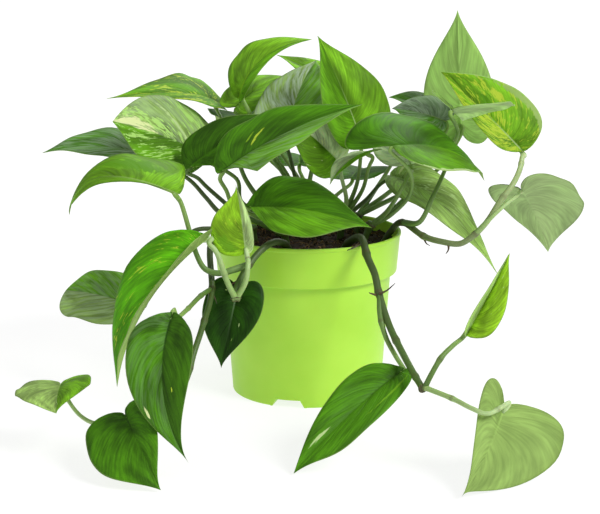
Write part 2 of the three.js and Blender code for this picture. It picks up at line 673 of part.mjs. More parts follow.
function soilProfile() {
  const collarSlope = (POT.collarTopRadius - POT.collarBottomRadius) / (lipBottom - POT.collarBottom);
  const edge = collarInner + collarSlope * (SOIL.top - stepInner) - GAP;
  const profile = [
    [0, POT.floor + GAP],
    [POT.footRadius - POT.wall - GAP, POT.floor + GAP],
    [bodyInner - GAP, stepInner + GAP],
    [collarInner - GAP, stepInner + GAP],
    [edge, SOIL.top - 1],
  ];
  for (let i = SOIL.rings - 1; i >= 0; i -= 1) profile.push([(edge * i) / SOIL.rings, SOIL.top]);
  return profile;
}

function soilSolid() {
  const geometry = turned(soilProfile(), SOIL.segments);
  const position = geometry.attributes.position;
  for (let i = 0; i < position.count; i += 1) {
    if (position.getZ(i) > SOIL.top - 1.5) {
      const level = position.getZ(i) - SOIL.top;
      position.setZ(i, soilHeight(position.getX(i), position.getY(i)) + level);
    }
  }
  let soil = toManifold(geometry);
  for (const angle of pocketAngles) {
    soil = soil.subtract(pocketSolid(angle, POT.wall + GAP, POT.rimRadius));
  }
  for (const branches of Object.values(STEMS)) {
    for (const branch of branches.filter((b) => b.path[0][2] < SOIL.top - 5)) {
      soil = soil.subtract(stemHole(branch));
    }
  }
  return soil;
}

// A plain hole round the part of a stem that stands in the soil.
function stemHole(branch) {
  const points = branch.path.map(vec);
  const start = points[0].clone().add(points[0].clone().sub(points[1]).normalize());
  const radius = (branch.radius[0] + STEM.holeClearance) / Math.cos(Math.PI / STEM.sides);
  return toManifold(barGeometry([start, ...points.slice(0, 3)], [radius, radius], 5));
}

// ---- the plant ----------------------------------------------------------------------

const materials = {
  pot: new THREE.MeshStandardMaterial({ color: 0xa5d94a, roughness: 0.4, metalness: 0 }),
  soil: new THREE.MeshStandardMaterial({ color: 0x2e2117, roughness: 0.95, metalness: 0 }),
  stem: new THREE.MeshStandardMaterial({ color: 0x5e7a32, roughness: 0.5, metalness: 0 }),
  leaf: new THREE.MeshStandardMaterial({ color: 0x3c7d22, roughness: 0.35, metalness: 0 }),
};

const leaves = Object.fromEntries(Object.entries(LEAVES).map(([name, entry]) => [name, fullLeaf(entry)]));

const plant = new THREE.Group();

function addPiece(name, geometry, material) {
  const mesh = new THREE.Mesh(geometry, material);
  mesh.name = name;
  plant.add(mesh);
}

addPiece('pot', toGeometry(potSolid()), materials.pot);
addPiece('soil', toGeometry(soilSolid()), materials.soil);
for (const [name, branches] of Object.entries(STEMS)) {
  addPiece(name, toGeometry(stemSolid(branches)), materials.stem);
}
for (const [name, leaf] of Object.entries(leaves)) {
  addPiece(name, bladeGeometry(leaf), materials.leaf);
}

export default plant;
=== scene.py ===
"""The looks of a trailing pothos in a plastic nursery pot, over the solid model.

Tables hold real sizes in millimetres, in the model's frame: +Z up, the pot's foot on z = 0,
the photographed side towards -Y. The meshes are made in metres.
"""

import math
import random

import bpy
import numpy as np
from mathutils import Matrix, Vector, noise


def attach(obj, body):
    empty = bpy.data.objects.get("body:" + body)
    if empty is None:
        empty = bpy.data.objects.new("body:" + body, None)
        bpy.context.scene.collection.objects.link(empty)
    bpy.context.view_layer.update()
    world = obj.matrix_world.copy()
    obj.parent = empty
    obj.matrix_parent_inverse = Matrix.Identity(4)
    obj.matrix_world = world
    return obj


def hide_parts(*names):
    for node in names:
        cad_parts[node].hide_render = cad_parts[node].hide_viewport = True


MM = 0.001

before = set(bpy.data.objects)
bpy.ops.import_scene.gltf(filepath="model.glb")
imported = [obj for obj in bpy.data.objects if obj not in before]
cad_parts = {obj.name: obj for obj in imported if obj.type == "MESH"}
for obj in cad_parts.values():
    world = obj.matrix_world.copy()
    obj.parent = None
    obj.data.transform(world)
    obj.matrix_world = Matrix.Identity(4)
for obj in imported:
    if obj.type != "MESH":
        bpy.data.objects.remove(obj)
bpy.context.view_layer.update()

# ---- sizes --------------------------------------------------------------------------

POT = dict(
    height=130,
    rim_radius=75,
    rim_width=2.4,
    wall=1.8,
    floor=2,
    foot_radius=60,
    foot_band=(0.35, 5),  # how much wider the side is, and at what height
    body_top_radius=67,
    collar_bottom_radius=71.7,
    collar_bottom=98,
    collar_top_radius=74.3,
    lip_height=3,
    lip_slope=(0.4, 0.6),  # outside and inside
    rounding=0.9,
    sharp_angle=32,
    segments=160,
)

POCKET = dict(
    count=4,
    first_angle=-104.6,
    outer_width=27,
    top_width=19.5,
    height=6,
    inner_radius=36,
    drain_radius=4,
    drain_at=47,
    drain_sides=24,
    drain_reach=15,  # how far the cut for it reaches up and down
    skin=((0.05, -2), (0.9, 12)),  # where its walls stop: past the foot's radius, and height
    cut_depth=5,  # how far the cut reaches past the rim's radius
)

SOIL = dict(
    top=121.5,
    bottom=9,
    edge_radius=71,
    edge_drop=1.5,
    gap=0.3,  # between the soil and the pot
    rings=46,
    segments=150,
    crumbs=420,
    crumb_size=(0.8, 2.4),
    fibres=170,
    fibre_length=(5, 16),
    fibre_radius=0.22,
)

BLADE_THICKNESS = 0.55
BLADE_ROWS = 44
BLADE_COLUMNS = 11  # in each half
VEINS = 8  # lateral veins in each half
VEIN_SHIFT = 0.25  # how far the veins of the halves miss each other, as a share of their pitch
SLANT = 0.9  # how far the veins lean towards the tip, 0 to 1
WAVE = 0.01  # height of the waves along the edges, as a share of the length
WAVES = 2.5
WAVE_SHIFT = 1.7  # radians between the waves of the two edges
EDGE_THICKNESS = 0.45  # as a share of the blade's thickness
RIB_WIDTH = 0.35  # of the ridge under the midrib, at the tip

RELIEF = dict(
    quilt=0.42,  # how far the blade swells between two veins
    groove=(0.32, 1.1),  # over the midrib: depth and half width
    shoulder=(0.16, 2.2, 1.6),  # beside the groove: height, distance out and half width
    dents=(1.3, 0.045),  # depth, and how many lie in a millimetre
)

STEM_SIDES = 14
STEM_STEP = 2.2
ROOT_SIDES = 8
ROOT_STEP = 1.2

RINGS = dict(  # the swollen rings on a stem, with a brown scar round each
    swell=0.22,
    length=2.6,
    scar=0.55,
    scar_length=1.0,
    branch_gap=8,  # a branch that starts closer than this stands on a ring
    long=60,  # only stems longer than this have rings between their branches
    start=24,  # where the ones between branches begin, from the stem's foot
    end=12,  # and where they stop, from its end
    spacing=41,
    apart=14,  # and no closer than this to a ring at a branch
)

PETIOLE = dict(
    turn=5,  # how far before the blade's base it turns to run along the blade
    stand_off=(1.6, 1.2),  # how far off the blade that is: so many times its radius and this
    overlap=2.5,  # how far it runs on past the blade's base
    end_height=0.7,  # how far its end lies from the blade's middle surface
    sheath=(0.28, 0.28, 0.35),  # at its foot: share of the length, how much thicker and paler
    collar=(0.08, 0.25),  # under the blade: share of the length, how much thicker
    taper=(0.03, 0.55),  # at its end: share of the length, and what is left of its radius
    groove=0.2,  # depth, as a share of its radius
)

# What a leaf has where its own entry doesn't say. fold and curl are degrees, point and scale
# go with the half width, and the rest are shares of the blade's length.
LEAF_DEFAULTS = dict(
    hook=0.5,
    sweep=0,
    fold=14,
    curl=-16,
    lobe=0.16,
    belly=0.24,
    point=0.16,
    lift=0,
    scale=1,
)


def blade(base, tip, face, bend, width, left={}, right={}, **rest):
    """A leaf from its petiole's end at base to its drip tip, its upper side turned to face.

    bend and width are shares of its length. left and right hold what differs in one half, seen
    along base to tip.
    """
    leaf = {**LEAF_DEFAULTS, **dict(base=base, tip=tip, face=face, bend=bend, width=width), **rest}
    return {**leaf, "left": {**leaf, **left}, "right": {**leaf, **right}}


def petiole(leaf, *path, tone="green", radius=(1.9, 1.5), in_front=False):
    """A round bar that carries the leaf of that number. radius is at its start and its end.

    in_front is True where it meets the leaf's upper side.
    """
    return dict(leaf=f"leaf_{leaf:02d}", path=path, tone=tone, radius=radius, in_front=in_front)


def stem(*path, tone="dark", radius=(3, 2.4)):
    """A round bar that carries no leaf of its own."""
    return dict(leaf=None, path=path, tone=tone, radius=radius)


LEAVES = dict(
    leaf_01=blade((-122, 25, 183), (-210, 5, 191), (0.1, -0.26, 0.97), 0.09, 0.7, lobe=0.08),
    leaf_02=blade((-75, 68, 223), (-160, 22, 232), (-0.1, -0.4, 0.9), 0.075, 0.64, hook=0.25, lobe=0.04,
        left=dict(belly=0.14, scale=0.85), right=dict(point=0.02, belly=0.16, scale=1.17, lobe=0.2)),
    leaf_03=blade((-80, 22, 185), (-148, -45, 223), (-0.3, -0.8, 0.55), 0.05, 0.9, fold=0, curl=-12,
        lobe=0.03, left=dict(lobe=-0.1, belly=0.5, scale=0.65, point=0.8),
        right=dict(point=0.62, lobe=0.34, scale=0.97, belly=0.2)),
    leaf_04=blade((-98, -80, 174), (-180, -66, 155), (-0.15, -0.5, 0.85), 0.345, 0.6, hook=0.68, fold=4,
        left=dict(belly=0.62, point=0.9, scale=0.42, lobe=-0.35),
        right=dict(scale=1.62, point=-0.22, lobe=0.06, belly=-0.06)),
    leaf_05=blade((-91, -30, 185), (-23, -15, 226), (-0.3, -0.85, 0.4), 0.08, 0.62, lobe=0.02,
        left=dict(scale=0.82), right=dict(lobe=-0.15, scale=0.6)),
    leaf_06=blade((-65, -60, 187), (41, -60, 238), (-0.25, -0.5, 0.8), 0.06, 0.62, fold=18, lobe=0.02,
        left=dict(scale=0.82), right=dict(lobe=-0.16, scale=0.85)),
    leaf_07=blade((-54, 30, 233), (4, 45, 277), (-0.5, -0.7, 0.5), 0.25, 0.62, hook=0.37, fold=5,
        lobe=0.05, left=dict(scale=1.08, point=0.38), right=dict(scale=0.35)),
    leaf_08=blade((-56, 45, 224), (-15, 90, 242), (0, -0.35, 0.93), 0.08, 0.7, left=dict(scale=0.88)),
    leaf_09=blade((26, 80, 235), (-25, 90, 260), (0, -0.35, 0.93), 0.03, 0.6),
    leaf_10=blade((-17, -5, 208), (8, 60, 259), (-0.25, -0.7, 0.65), 0.08, 0.78, left=dict(scale=0.88)),
    leaf_11=blade((42, -10, 204), (8, 0, 284), (0.2, -0.9, 0.3), 0.05, 0.7, lobe=0.04,
        left=dict(fold=40), right=dict(fold=8, scale=1.06)),
    leaf_12=blade((66, -80, 210), (139, -15, 172), (0.25, -0.4, 0.88), 0.12, 0.78, fold=9, lift=-0.24,
        left=dict(lobe=0.3), right=dict(lobe=0.05, scale=0.82)),
    leaf_13=blade((110, 40, 212), (70, 60, 219), (0, -0.6, 0.8), 0.06, 0.85,
        right=dict(scale=1.05, point=0.4, belly=0.34)),
    leaf_14=blade((122, 84, 199), (69, 94, 224), (0, -0.3, 0.95), 0.1, 0.7,
        right=dict(scale=1.1, point=0.5, belly=0.36)),
    leaf_15=blade((111, -30, 230), (123, 7, 216), (0, 0, 1), 0.03, 1.3, curl=-4, lobe=0.29,
        left=dict(fold=44, scale=0.85), right=dict(fold=12, scale=1.75)),
    leaf_16=blade((127, 59, 203), (124, 79, 298), (0, 0.95, 0.2), 0.04, 0.62, fold=8,
        left=dict(scale=0.94)),
    leaf_17=blade((170, 11, 193), (108, 41, 251), (0.1, -0.95, 0.3), 0.05, 0.7, lobe=0.05,
        left=dict(fold=30, scale=0.52, lobe=-0.02), right=dict(fold=8, scale=1.07, point=0.4)),
    leaf_18=blade((166, -31, 168), (199, 39, 103), (0.25, 0.62, 0.74), 0.05, 0.82,
        left=dict(scale=0.8, lobe=0.02), right=dict(lobe=0.32, scale=1.03)),
    leaf_19=blade((69, 5, 172), (152, -15, 96), (0.55, -0.45, 0.65), 0.1, 0.54, hook=0.31, point=0.05,
        lobe=0.03),
    leaf_20=blade((-75, -110, 146), (-141, -120, 36), (-0.6, -0.7, 0.3), 0.15, 0.54, lobe=0.04,
        left=dict(fold=60, scale=1.1), right=dict(fold=6, lobe=-0.02, scale=1.1, point=0.2)),
    leaf_21=blade((-128, -52, 79), (-197, 20, 75), (-0.1, -0.75, 0.65), 0.05, 0.58, point=0.9,
        belly=0.4, lobe=0.03, left=dict(scale=0.92, point=1.1), right=dict(scale=0.78)),
    leaf_22=blade((-93, -204, 112), (-82, -219, 12), (0, -1, 0.1), 0.06, 0.5, sweep=0.11, lobe=0.02,
        left=dict(scale=0.8, point=0, lobe=0.01), right=dict(point=0, lobe=-0.02)),
    leaf_23=blade((-53, -88, 100), (-65, -96, 43), (0, -1, 0.2), 0.05, 0.78, lobe=0.24,
        left=dict(belly=0.12, point=0, lobe=0.2, scale=0.95), right=dict(lobe=0.18)),
    leaf_24=blade((-127, -195, 38), (-99, -245, 2), (-0.1, -0.8, 0.6), 0.08, 0.82,
        left=dict(scale=0.62, point=0), right=dict(scale=1.24, belly=0.36, point=0.4)),
    leaf_25=blade((-178, -152, 48), (-175, -196, 40), (-0.13, -0.4, 0.9), 0.06, 1.2, lobe=0.5, lift=0,
        fold=6, curl=-10, left=dict(scale=0.86, lobe=0.4, point=0),
        right=dict(scale=1.22, lobe=0.42, belly=0.08, point=0.4)),
    leaf_26=blade((68, -152, 58), (-10, -213, 2), (-0.2, -0.8, 0.55), 0.08, 0.42, lobe=0.04,
        left=dict(scale=0.74, point=0.4, belly=0.48), right=dict(lobe=-0.04, point=0.45, scale=0.9)),
    leaf_27=blade((112, -170, 91), (143, -150, 144), (0.1, -0.98, 0.1), 0.03, 0.62, fold=58, lobe=0.05,
        left=dict(scale=0.45), right=dict(lobe=0.02)),
    leaf_28=blade((133, -215, 49), (101, -265, 5), (0.24, 0.86, 0.44), 0.05, 1.2, fold=14, sweep=0.07,
        left=dict(scale=0.42, lobe=0.22, belly=-0.1, point=0),
        right=dict(scale=1.2, lobe=0.16, belly=0.04, point=-0.05, fold=2)),
    leaf_29=blade((-45, -50, 158), (48, -80, 148), (0, -0.62, 0.78), 0.08, 0.68, lobe=0.02,
        left=dict(scale=0.9, lobe=-0.02), right=dict(lobe=-0.15, belly=0.42, scale=0.93)),
    leaf_30=blade((-46, -92, 133), (-53, -96, 184), (0.2, -0.95, 0.2), 0.05, 0.62, lobe=0.06,
        left=dict(scale=1.55, lobe=0.05, belly=0.38, point=-0.05), right=dict(scale=0.45)),
    leaf_31=blade((25, -15, 187), (-21, -25, 228), (0.1, -0.8, 0.6), 0.05, 0.8, lobe=0.03),
    leaf_32=blade((47, -20, 195), (17, -55, 176), (-0.5, -0.3, 0.8), 0.1, 0.6),
    leaf_33=blade((80, -20, 187), (63, 35, 214), (0, -0.7, 0.7), 0.05, 0.75, lobe=0.05),
    leaf_34=blade((-38, 68, 201), (-80, 152, 196), (-0.1, 0.35, 0.93), 0.1, 0.72),
    leaf_35=blade((-6, 80, 170), (-6, 156, 157), (0, 0.3, 0.95), 0.1, 0.72),
    leaf_36=blade((38, 72, 160), (60, 144, 146), (0.1, 0.3, 0.95), 0.1, 0.72),
    leaf_37=blade((78, 82, 188), (118, 146, 176), (0.1, 0.3, 0.95), 0.1, 0.66),
    leaf_38=blade((-37, 70, 186), (-86, 140, 168), (-0.1, 0.6, 0.8), 0.12, 0.66),
    leaf_39=blade((-15, 112, 98), (-28, 124, 22), (0, 1, 0.2), 0.06, 0.74),
    leaf_40=blade((38, 112, 92), (50, 122, 14), (0.1, 1, 0.1), 0.06, 0.74),
)

STEMS = dict(
    left_vine=(
        stem((-10, -50, 113), (-13, -56, 124), (-19, -65, 133), (-27, -74, 135), (-37, -84, 129),
            (-47, -94, 117), (-53, -101, 106), (-53, -104, 99), radius=(2.8, 2.4)),
        petiole(23, (-53, -104, 100), (-53, -100, 105), tone="dark", radius=(1.8, 1.4), in_front=True),
        petiole(20, (-53, -104, 99), (-59, -110, 113), (-66, -116, 136), (-72, -114, 143), tone="pale",
            radius=(2.3, 1.7)),
        petiole(30, (-53, -104, 99), (-46, -106, 112), (-44, -104, 124), tone="pale", radius=(2.3, 1.6),
            in_front=True),
        petiole(4, (-43, -90, 122), (-56, -96, 119), (-66, -98, 117), (-76, -97, 120), (-82, -96, 130),
            (-87, -93, 146), (-92, -89, 163), radius=(2.2, 1.7)),
    ),
    trailing_vine=(
        stem((-44, -14, 112), (-58, -30, 129), (-66, -42, 136), (-74, -62, 128), (-71, -104, 105),
            (-76, -135, 87), (-81, -152, 73), (-88, -168, 52), (-101, -178, 42), (-114, -184, 38),
            (-125, -188, 36), radius=(2.6, 2)),
        petiole(24, (-125, -188, 36), (-126, -191, 36), radius=(1.7, 1.4)),
        petiole(25, (-125, -188, 36), (-137, -188, 30), (-150, -182, 28), (-162, -170, 30),
            (-172, -157, 37), tone="pale", radius=(1.7, 1.3)),
        petiole(22, (-72, -103, 106), (-78, -128, 107), (-85, -172, 108), (-90, -196, 109)),
    ),
    left_stem=(
        stem((-40, -2, 112), (-44, -4, 134)),
        petiole(1, (-44, -4, 132), (-67, -14, 145), (-80, -6, 157), (-93, 4, 169), (-112, 18, 178),
            tone="dark"),
        petiole(21, (-44, -4, 132), (-69, -40, 139), (-89, -50, 138), (-108, -57, 116), (-123, -56, 92),
            tone="dark", in_front=True),
        petiole(5, (-44, -4, 132), (-62, -24, 154), (-77, -30, 169), (-85, -30, 177), tone="dark"),
    ),
    left_crown=(
        stem((-22, 8, 112), (-24, 6, 140)),
        petiole(3, (-24, 6, 136), (-52, 18, 148), (-57, 28, 166)),
        petiole(2, (-24, 6, 136), (-49, 22, 166), (-60, 30, 197)),
    ),
    front_crown=(
        stem((-14, -24, 112), (-18, -27, 134)),
        petiole(6, (-18, -27, 132), (-53, -44, 153), (-62, -54, 172), radius=(2, 1.6)),
        petiole(29, (-18, -27, 132), (-35, -44, 148), radius=(2, 1.6)),
    ),
    middle_crown=(
        stem((2, 18, 112), (0, 16, 140)),
        petiole(8, (0, 16, 136), (-14, 32, 165), (-32, 44, 190), (-50, 48, 214)),
        petiole(7, (0, 16, 136), (-15, 18, 165), (-32, 24, 192), (-47, 26, 222)),
        petiole(10, (0, 16, 136), (-9, 8, 169), (-14, 0, 190), tone="dark"),
        petiole(9, (0, 16, 136), (3, 38, 167), (12, 56, 192), (20, 68, 212)),
    ),
    right_crown=(
        stem((26, 4, 112), (28, 2, 142), radius=(3.2, 2.6)),
        petiole(31, (28, 2, 138), (31, -6, 155), (27, -12, 174), tone="pale"),
        petiole(11, (28, 2, 138), (39, -2, 166), (42, -6, 189)),
        petiole(32, (28, 2, 138), (43, -6, 162), (48, -13, 182)),
        petiole(19, (28, 2, 138), (47, 10, 152), (57, 12, 163), tone="dark"),
    ),
    right_stem=(
        stem((40, -16, 112), (46, -18, 128), (51, -19, 140)),
        petiole(12, (51, -19, 138), (66, -26, 148), (79, -40, 166), (77, -63, 188), radius=(1.9, 1.2)),
        petiole(33, (51, -19, 138), (62, -28, 150), (72, -42, 170), (79, -33, 182)),
        petiole(13, (51, -19, 138), (73, 10, 148), (91, 26, 165), (104, 32, 189)),
    ),
    right_vine=(
        petiole(17, (56, -6, 112), (66, -10, 130), (75, -16, 139), (90, -40, 133), (104, -52, 131),
            (117, -58, 131), (128, -60, 139), (137, -60, 149), (146, -60, 164), (156, -54, 176),
            (163, -40, 185), (168, -16, 191), tone="fading", radius=(2.6, 1.9)),
        petiole(18, (128, -60, 139), (138, -63, 151), (150, -58, 161), (160, -48, 166), tone="pale",
            radius=(1.8, 1.4)),
        petiole(15, (75, -16, 139), (87, -38, 144), (97, -34, 163), (107, -18, 180), (114, -11, 198),
            (117, -17, 212)),
    ),
    front_vine=(
        stem((24, -30, 112), (32, -46, 129), (41, -62, 136), (45, -84, 126), (50, -98, 116),
            (53, -110, 103), (60, -130, 84), (70, -158, 68), (77, -180, 59), (80, -190, 56),
            radius=(3.1, 2.3)),
        petiole(26, (53, -109, 105), (53, -122, 91), (57, -132, 77), (64, -141, 65), radius=(2.1, 1.6)),
        petiole(27, (81, -190, 56), (85, -190, 65), (93, -184, 77), (102, -177, 84), radius=(2, 1.6)),
        petiole(28, (81, -190, 57), (99, -206, 54), (111, -222, 52), (122, -227, 50), tone="pale"),
    ),
    back_stem=(
        stem((10, 42, 112), (10, 46, 138)),
        petiole(34, (10, 46, 134), (-14, 52, 173), (-32, 52, 196)),
        petiole(35, (10, 46, 134), (-2, 62, 158)),
        petiole(36, (10, 46, 134), (25, 60, 147)),
        petiole(38, (10, 46, 134), (-18, 66, 163)),
    ),
    back_right_stem=(
        stem((40, 28, 112), (42, 30, 138)),
        petiole(37, (42, 30, 136), (68, 64, 168)),
        petiole(14, (42, 30, 136), (78, 52, 160), (106, 66, 196)),
        petiole(16, (42, 30, 136), (84, 40, 155), (111, 56, 172)),
    ),
    back_vine=(
        petiole(40, (-8, 54, 112), (-9, 66, 129), (-9, 77, 136), (-6, 96, 124), (0, 106, 108),
            (10, 110, 96), (22, 112, 86), radius=(2.6, 2)),
        petiole(39, (-3, 102, 116), (-8, 103, 107)),
    ),
)

# ---- looks --------------------------------------------------------------------------

PALETTE = dict(
    deep="1c4003", dark="305806", leaf="42760b", mid="5c9414", fresh="70a61e", vivid="5cac0e",
    lime="8cbc24", yellow="bcd43c", cream="dfe8a8", soft="7f9e4e", pale="9cbc64", light="b6d08c",
    # The last colour on the next line is the painted silvery sheen, a painted highlight.
    mist="d6e6bc", sap="b2de76", grey="66805a", painted_highlight_silver="a9bea2",
    plastic="a5d93a", plastic_light="b0e246",
    sheath="8fb068", scar="4b3f26", root="5c4a30", root_tip="2d2a1c",
    earth="2b1d13", bark="8a6a45",
)

# vein is how bright the lateral veins are, under the colour of the underside, shine 0 matt to 1
# glossy, glow the share of light that comes through. flecks and sheen are how much of the left
# and the right half has flecks and a painted silvery sheen, a highlight painted into the colour.
# spots are single marks: across -1 to 1, down 0 to 1, half sizes of both, and a colour.
LOOK_DEFAULTS = dict(
    vein=0.7,
    edge="soft",
    under="pale",
    shine=0.55,
    glow=0.14,
    fleck="yellow",
    flecks=(0, 0),
    sheen=(0, 0),
    spots=(),
)


def look(left="leaf", right="leaf", rib="dark", **rest):
    """How a leaf looks: the two halves of its upper side, its midrib and what else differs."""
    return {**LOOK_DEFAULTS, "left": left, "right": right, "rib": rib, **rest}


BACK_LOOK = look(rib="mid", flecks=(0.05, 0.05))

LOOKS = dict(
    leaf_01=look(rib="soft", shine=0.35, sheen=(0.45, 0.4), vein=1.2),
    leaf_02=look("mid", "mid", "pale", flecks=(0.5, 0.5)),
    leaf_03=look(
        "mid", "soft", "leaf", flecks=(0.5, 0.6), fleck="sap", shine=0.3, sheen=(0, 0.3),
        spots=((0.3, 0.93, 0.4, 0.05, "cream"), (0.4, 0.6, 0.5, 0.02, "light")),
    ),
    leaf_04=look(
        "fresh", "fresh", "pale", flecks=(0, 0.1), glow=0.2,
        spots=(
            (0.75, 0.22, 0.14, 0.03, "yellow"), (0.6, 0.3, 0.14, 0.015, "yellow"),
            (0.85, 0.34, 0.1, 0.02, "lime"), (0.5, 0.62, 0.3, 0.12, "mid"),
        ),
    ),
    leaf_05=look("dark", "leaf", "leaf", shine=0.3),
    leaf_06=look(
        "leaf", "mid", sheen=(0, 0.25),
        spots=((-0.32, 0.56, 0.16, 0.012, "yellow"), (-0.42, 0.53, 0.12, 0.008, "lime")),
    ),
    leaf_07=look("fresh", "mid", "lime"),
    leaf_08=look("fresh", "fresh"),
    leaf_09=look("fresh", "fresh", "lime", glow=0.2),
    leaf_10=look("soft", "mid", "light", sheen=(0.95, 0.2), shine=0.6),
    leaf_11=look("mid", "fresh", "light", vein=1.3, shine=0.45, glow=0.2),
    leaf_12=look("leaf", "mid", "leaf", edge="pale", spots=((0.99, 0.5, 0.06, 0.3, "light"),)),
    leaf_13=look("leaf", "grey", "soft", sheen=(0.3, 0.5)),
    leaf_14=look(rib="mid"),
    leaf_15=look("soft", "pale", under="mist", glow=0.5, edge="light"),
    leaf_16=look(under="sap", glow=0.35),
    leaf_17=look(
        "fresh", "fresh", "light", flecks=(0.7, 0.48), glow=0.2, edge="light",
        spots=(
            (0.62, 0.66, 0.16, 0.04, "yellow"), (-0.5, 0.3, 0.3, 0.05, "yellow"),
            (0.3, 0.7, 0.2, 0.05, "mid"), (0.92, 0.45, 0.1, 0.3, "pale"),
        ),
    ),
    leaf_18=look(rib="mid", under="light", glow=0.3),
    leaf_19=look(
        "pale", "pale", "light", flecks=(0.5, 0.4), fleck="light", shine=0.4, glow=0.25,
        spots=((-0.5, 0.3, 0.3, 0.03, "cream"), (0.3, 0.22, 0.25, 0.03, "light")),
    ),
    leaf_20=look("pale", "vivid", "lime", flecks=(0, 0.36), glow=0.2),
    leaf_21=look("soft", "mid", sheen=(0.35, 0.2), shine=0.4),
    leaf_22=look(
        "dark", "leaf", "deep", shine=0.6, sheen=(0, 0.1),
        spots=((0.88, 0.72, 0.06, 0.025, "cream"), (-0.45, 0.68, 0.035, 0.01, "yellow")),
    ),
    leaf_23=look(
        "deep", "deep", "grey", shine=0.6,
        spots=(
            (-0.4, 0.65, 0.035, 0.012, "light"), (-0.38, 0.78, 0.025, 0.008, "pale"),
            (0.45, 0.35, 0.03, 0.01, "pale"),
        ),
    ),
    leaf_24=look(shine=0.45, glow=0.16),
    leaf_25=look("fresh", "pale", "pale", flecks=(0, 0.2), fleck="light", glow=0.2),
    leaf_26=look(
        shine=0.6, spots=((0.45, 0.85, 0.2, 0.02, "light"), (-0.55, 0.4, 0.05, 0.16, "fresh"))
    ),
    leaf_27=look("pale", "lime", "pale", flecks=(0.3, 0.2), fleck="light", sheen=(0.3, 0)),
    leaf_28=look(rib="light", glow=0.25),
    leaf_29=look("leaf", "mid"),
    leaf_30=look(
        "lime", "light", "light", flecks=(0.3, 0.3), glow=0.25,
        spots=((-0.6, 0.4, 0.3, 0.12, "fresh"),),
    ),
    leaf_31=look("fresh", "mist", "light", flecks=(0.2, 0.5), fleck="cream", glow=0.3),
    leaf_32=look("fresh", "mist", "light", flecks=(0, 0.5), fleck="cream", glow=0.3),
    leaf_33=look("mist", "mist", "light", sheen=(0.4, 0.4), glow=0.35),
)

STEM_COLOURS = dict(  # at the start and at the end of a bar
    green=("50702c", "82a64e"),
    dark=("323e1a", "50702a"),
    pale=("8cac60", "bad296"),
    fading=("3c4a1e", "c0d890"),
)

AERIAL_ROOTS = dict(  # start, bend and end of each short root, and its radius at the start
    front_vine=(
        ((53, -112, 105), (58, -115, 108), (64, -117, 114), 1.0),
        ((50, -112, 104), (46, -115, 106), (45, -117, 107), 0.9),
        ((41, -65, 134), (36, -70, 131), (30, -73, 129), 1.3),
    ),
    trailing_vine=(((-72, -103, 105), (-69, -106, 101), (-67, -107, 96), 0.8),),
    right_vine=(
        ((108, -55, 130), (108, -57, 126), (106, -58, 123), 1.1),
        ((90, -41, 132), (92, -43, 128), (95, -43, 126), 0.9),
    ),
    left_vine=(((-52, -98, 111), (-56, -99, 109), (-58, -99, 104), 0.9),),
)

# Patterns in a blade's own grid: repeats across and down, detail and roughness.
PATTERNS = dict(
    broad=(1.6, 5.0, 3, 0.55),
    streaks=(2.6, 64.0, 4, 0.6),
    # The next pattern lays out the streaks of the painted silvery sheen, a painted highlight.
    painted_highlight_silver=(2.2, 30.0, 4, 0.6),
    patches=(1.8, 16.0, 4, 0.62),
    dots=(8.0, 80.0, 3, 0.5),
    spot_edge=(9.0, 45.0, 3, 0.5),
    under_broad=(1.2, 6.0, 3, 0.5),
    under_streaks=(2.4, 50.0, 4, 0.5),
)

SUNS = (  # name, direction, power, spread in degrees
    ("key", (0.72, -0.56, 0.78), 2.4, 24),
    ("fill", (-0.8, -0.35, 0.6), 0.5, 60),
    ("back", (0.3, 0.8, 0.72), 0.95, 30),
)
SKY = 0.36
FLOOR_HALF = 20000

CAMERA_AT = (-0.0056, -1.3, 0.399)  # metres
CAMERA_DOWN = 12.64  # degrees below level
CAMERA_LENS = 99.78
CAMERA_SENSOR = 36

# ---- blade shape --------------------------------------------------------------------


def unit(v):
    return v / np.linalg.norm(v, axis=-1, keepdims=True)


def bezier(a, b, c, d, t):
    s = 1 - t
    return s**3 * a + 3 * s * s * t * b + 3 * s * t * t * c + t**3 * d


def lay_out(leaf):
    """Adds the leaf's length and the point that draws its midrib into a curve."""
    base, tip, face = (np.array(leaf[k], float) for k in ("base", "tip", "face"))
    length = np.linalg.norm(tip - base)
    chord = (tip - base) / length
    face = unit(face - chord * (face @ chord))
    side = np.cross(chord, face)
    middle = base + chord * length * leaf["hook"]
    middle = middle + face * length * leaf["bend"] * 2 + side * length * leaf["sweep"] * 2
    return {**leaf, "base": base, "middle": middle, "tip": tip, "length": length, "face": face}


def outline(t, half):
    """Half outline as shares of the half width and of the length, from the sinus to the tip."""
    lobe, belly, point = half["lobe"], half["belly"], half["point"]
    u, v = t * 2, t * 2 - 1
    low = bezier(0, 0.22, 1, 1, u), bezier(0, -lobe * 1.25, -lobe * 1.45, belly, u)
    high = bezier(1, 1, point, 0, v), bezier(belly, belly + 0.36, 0.8, 1, v)
    return low if t <= 0.5 else high


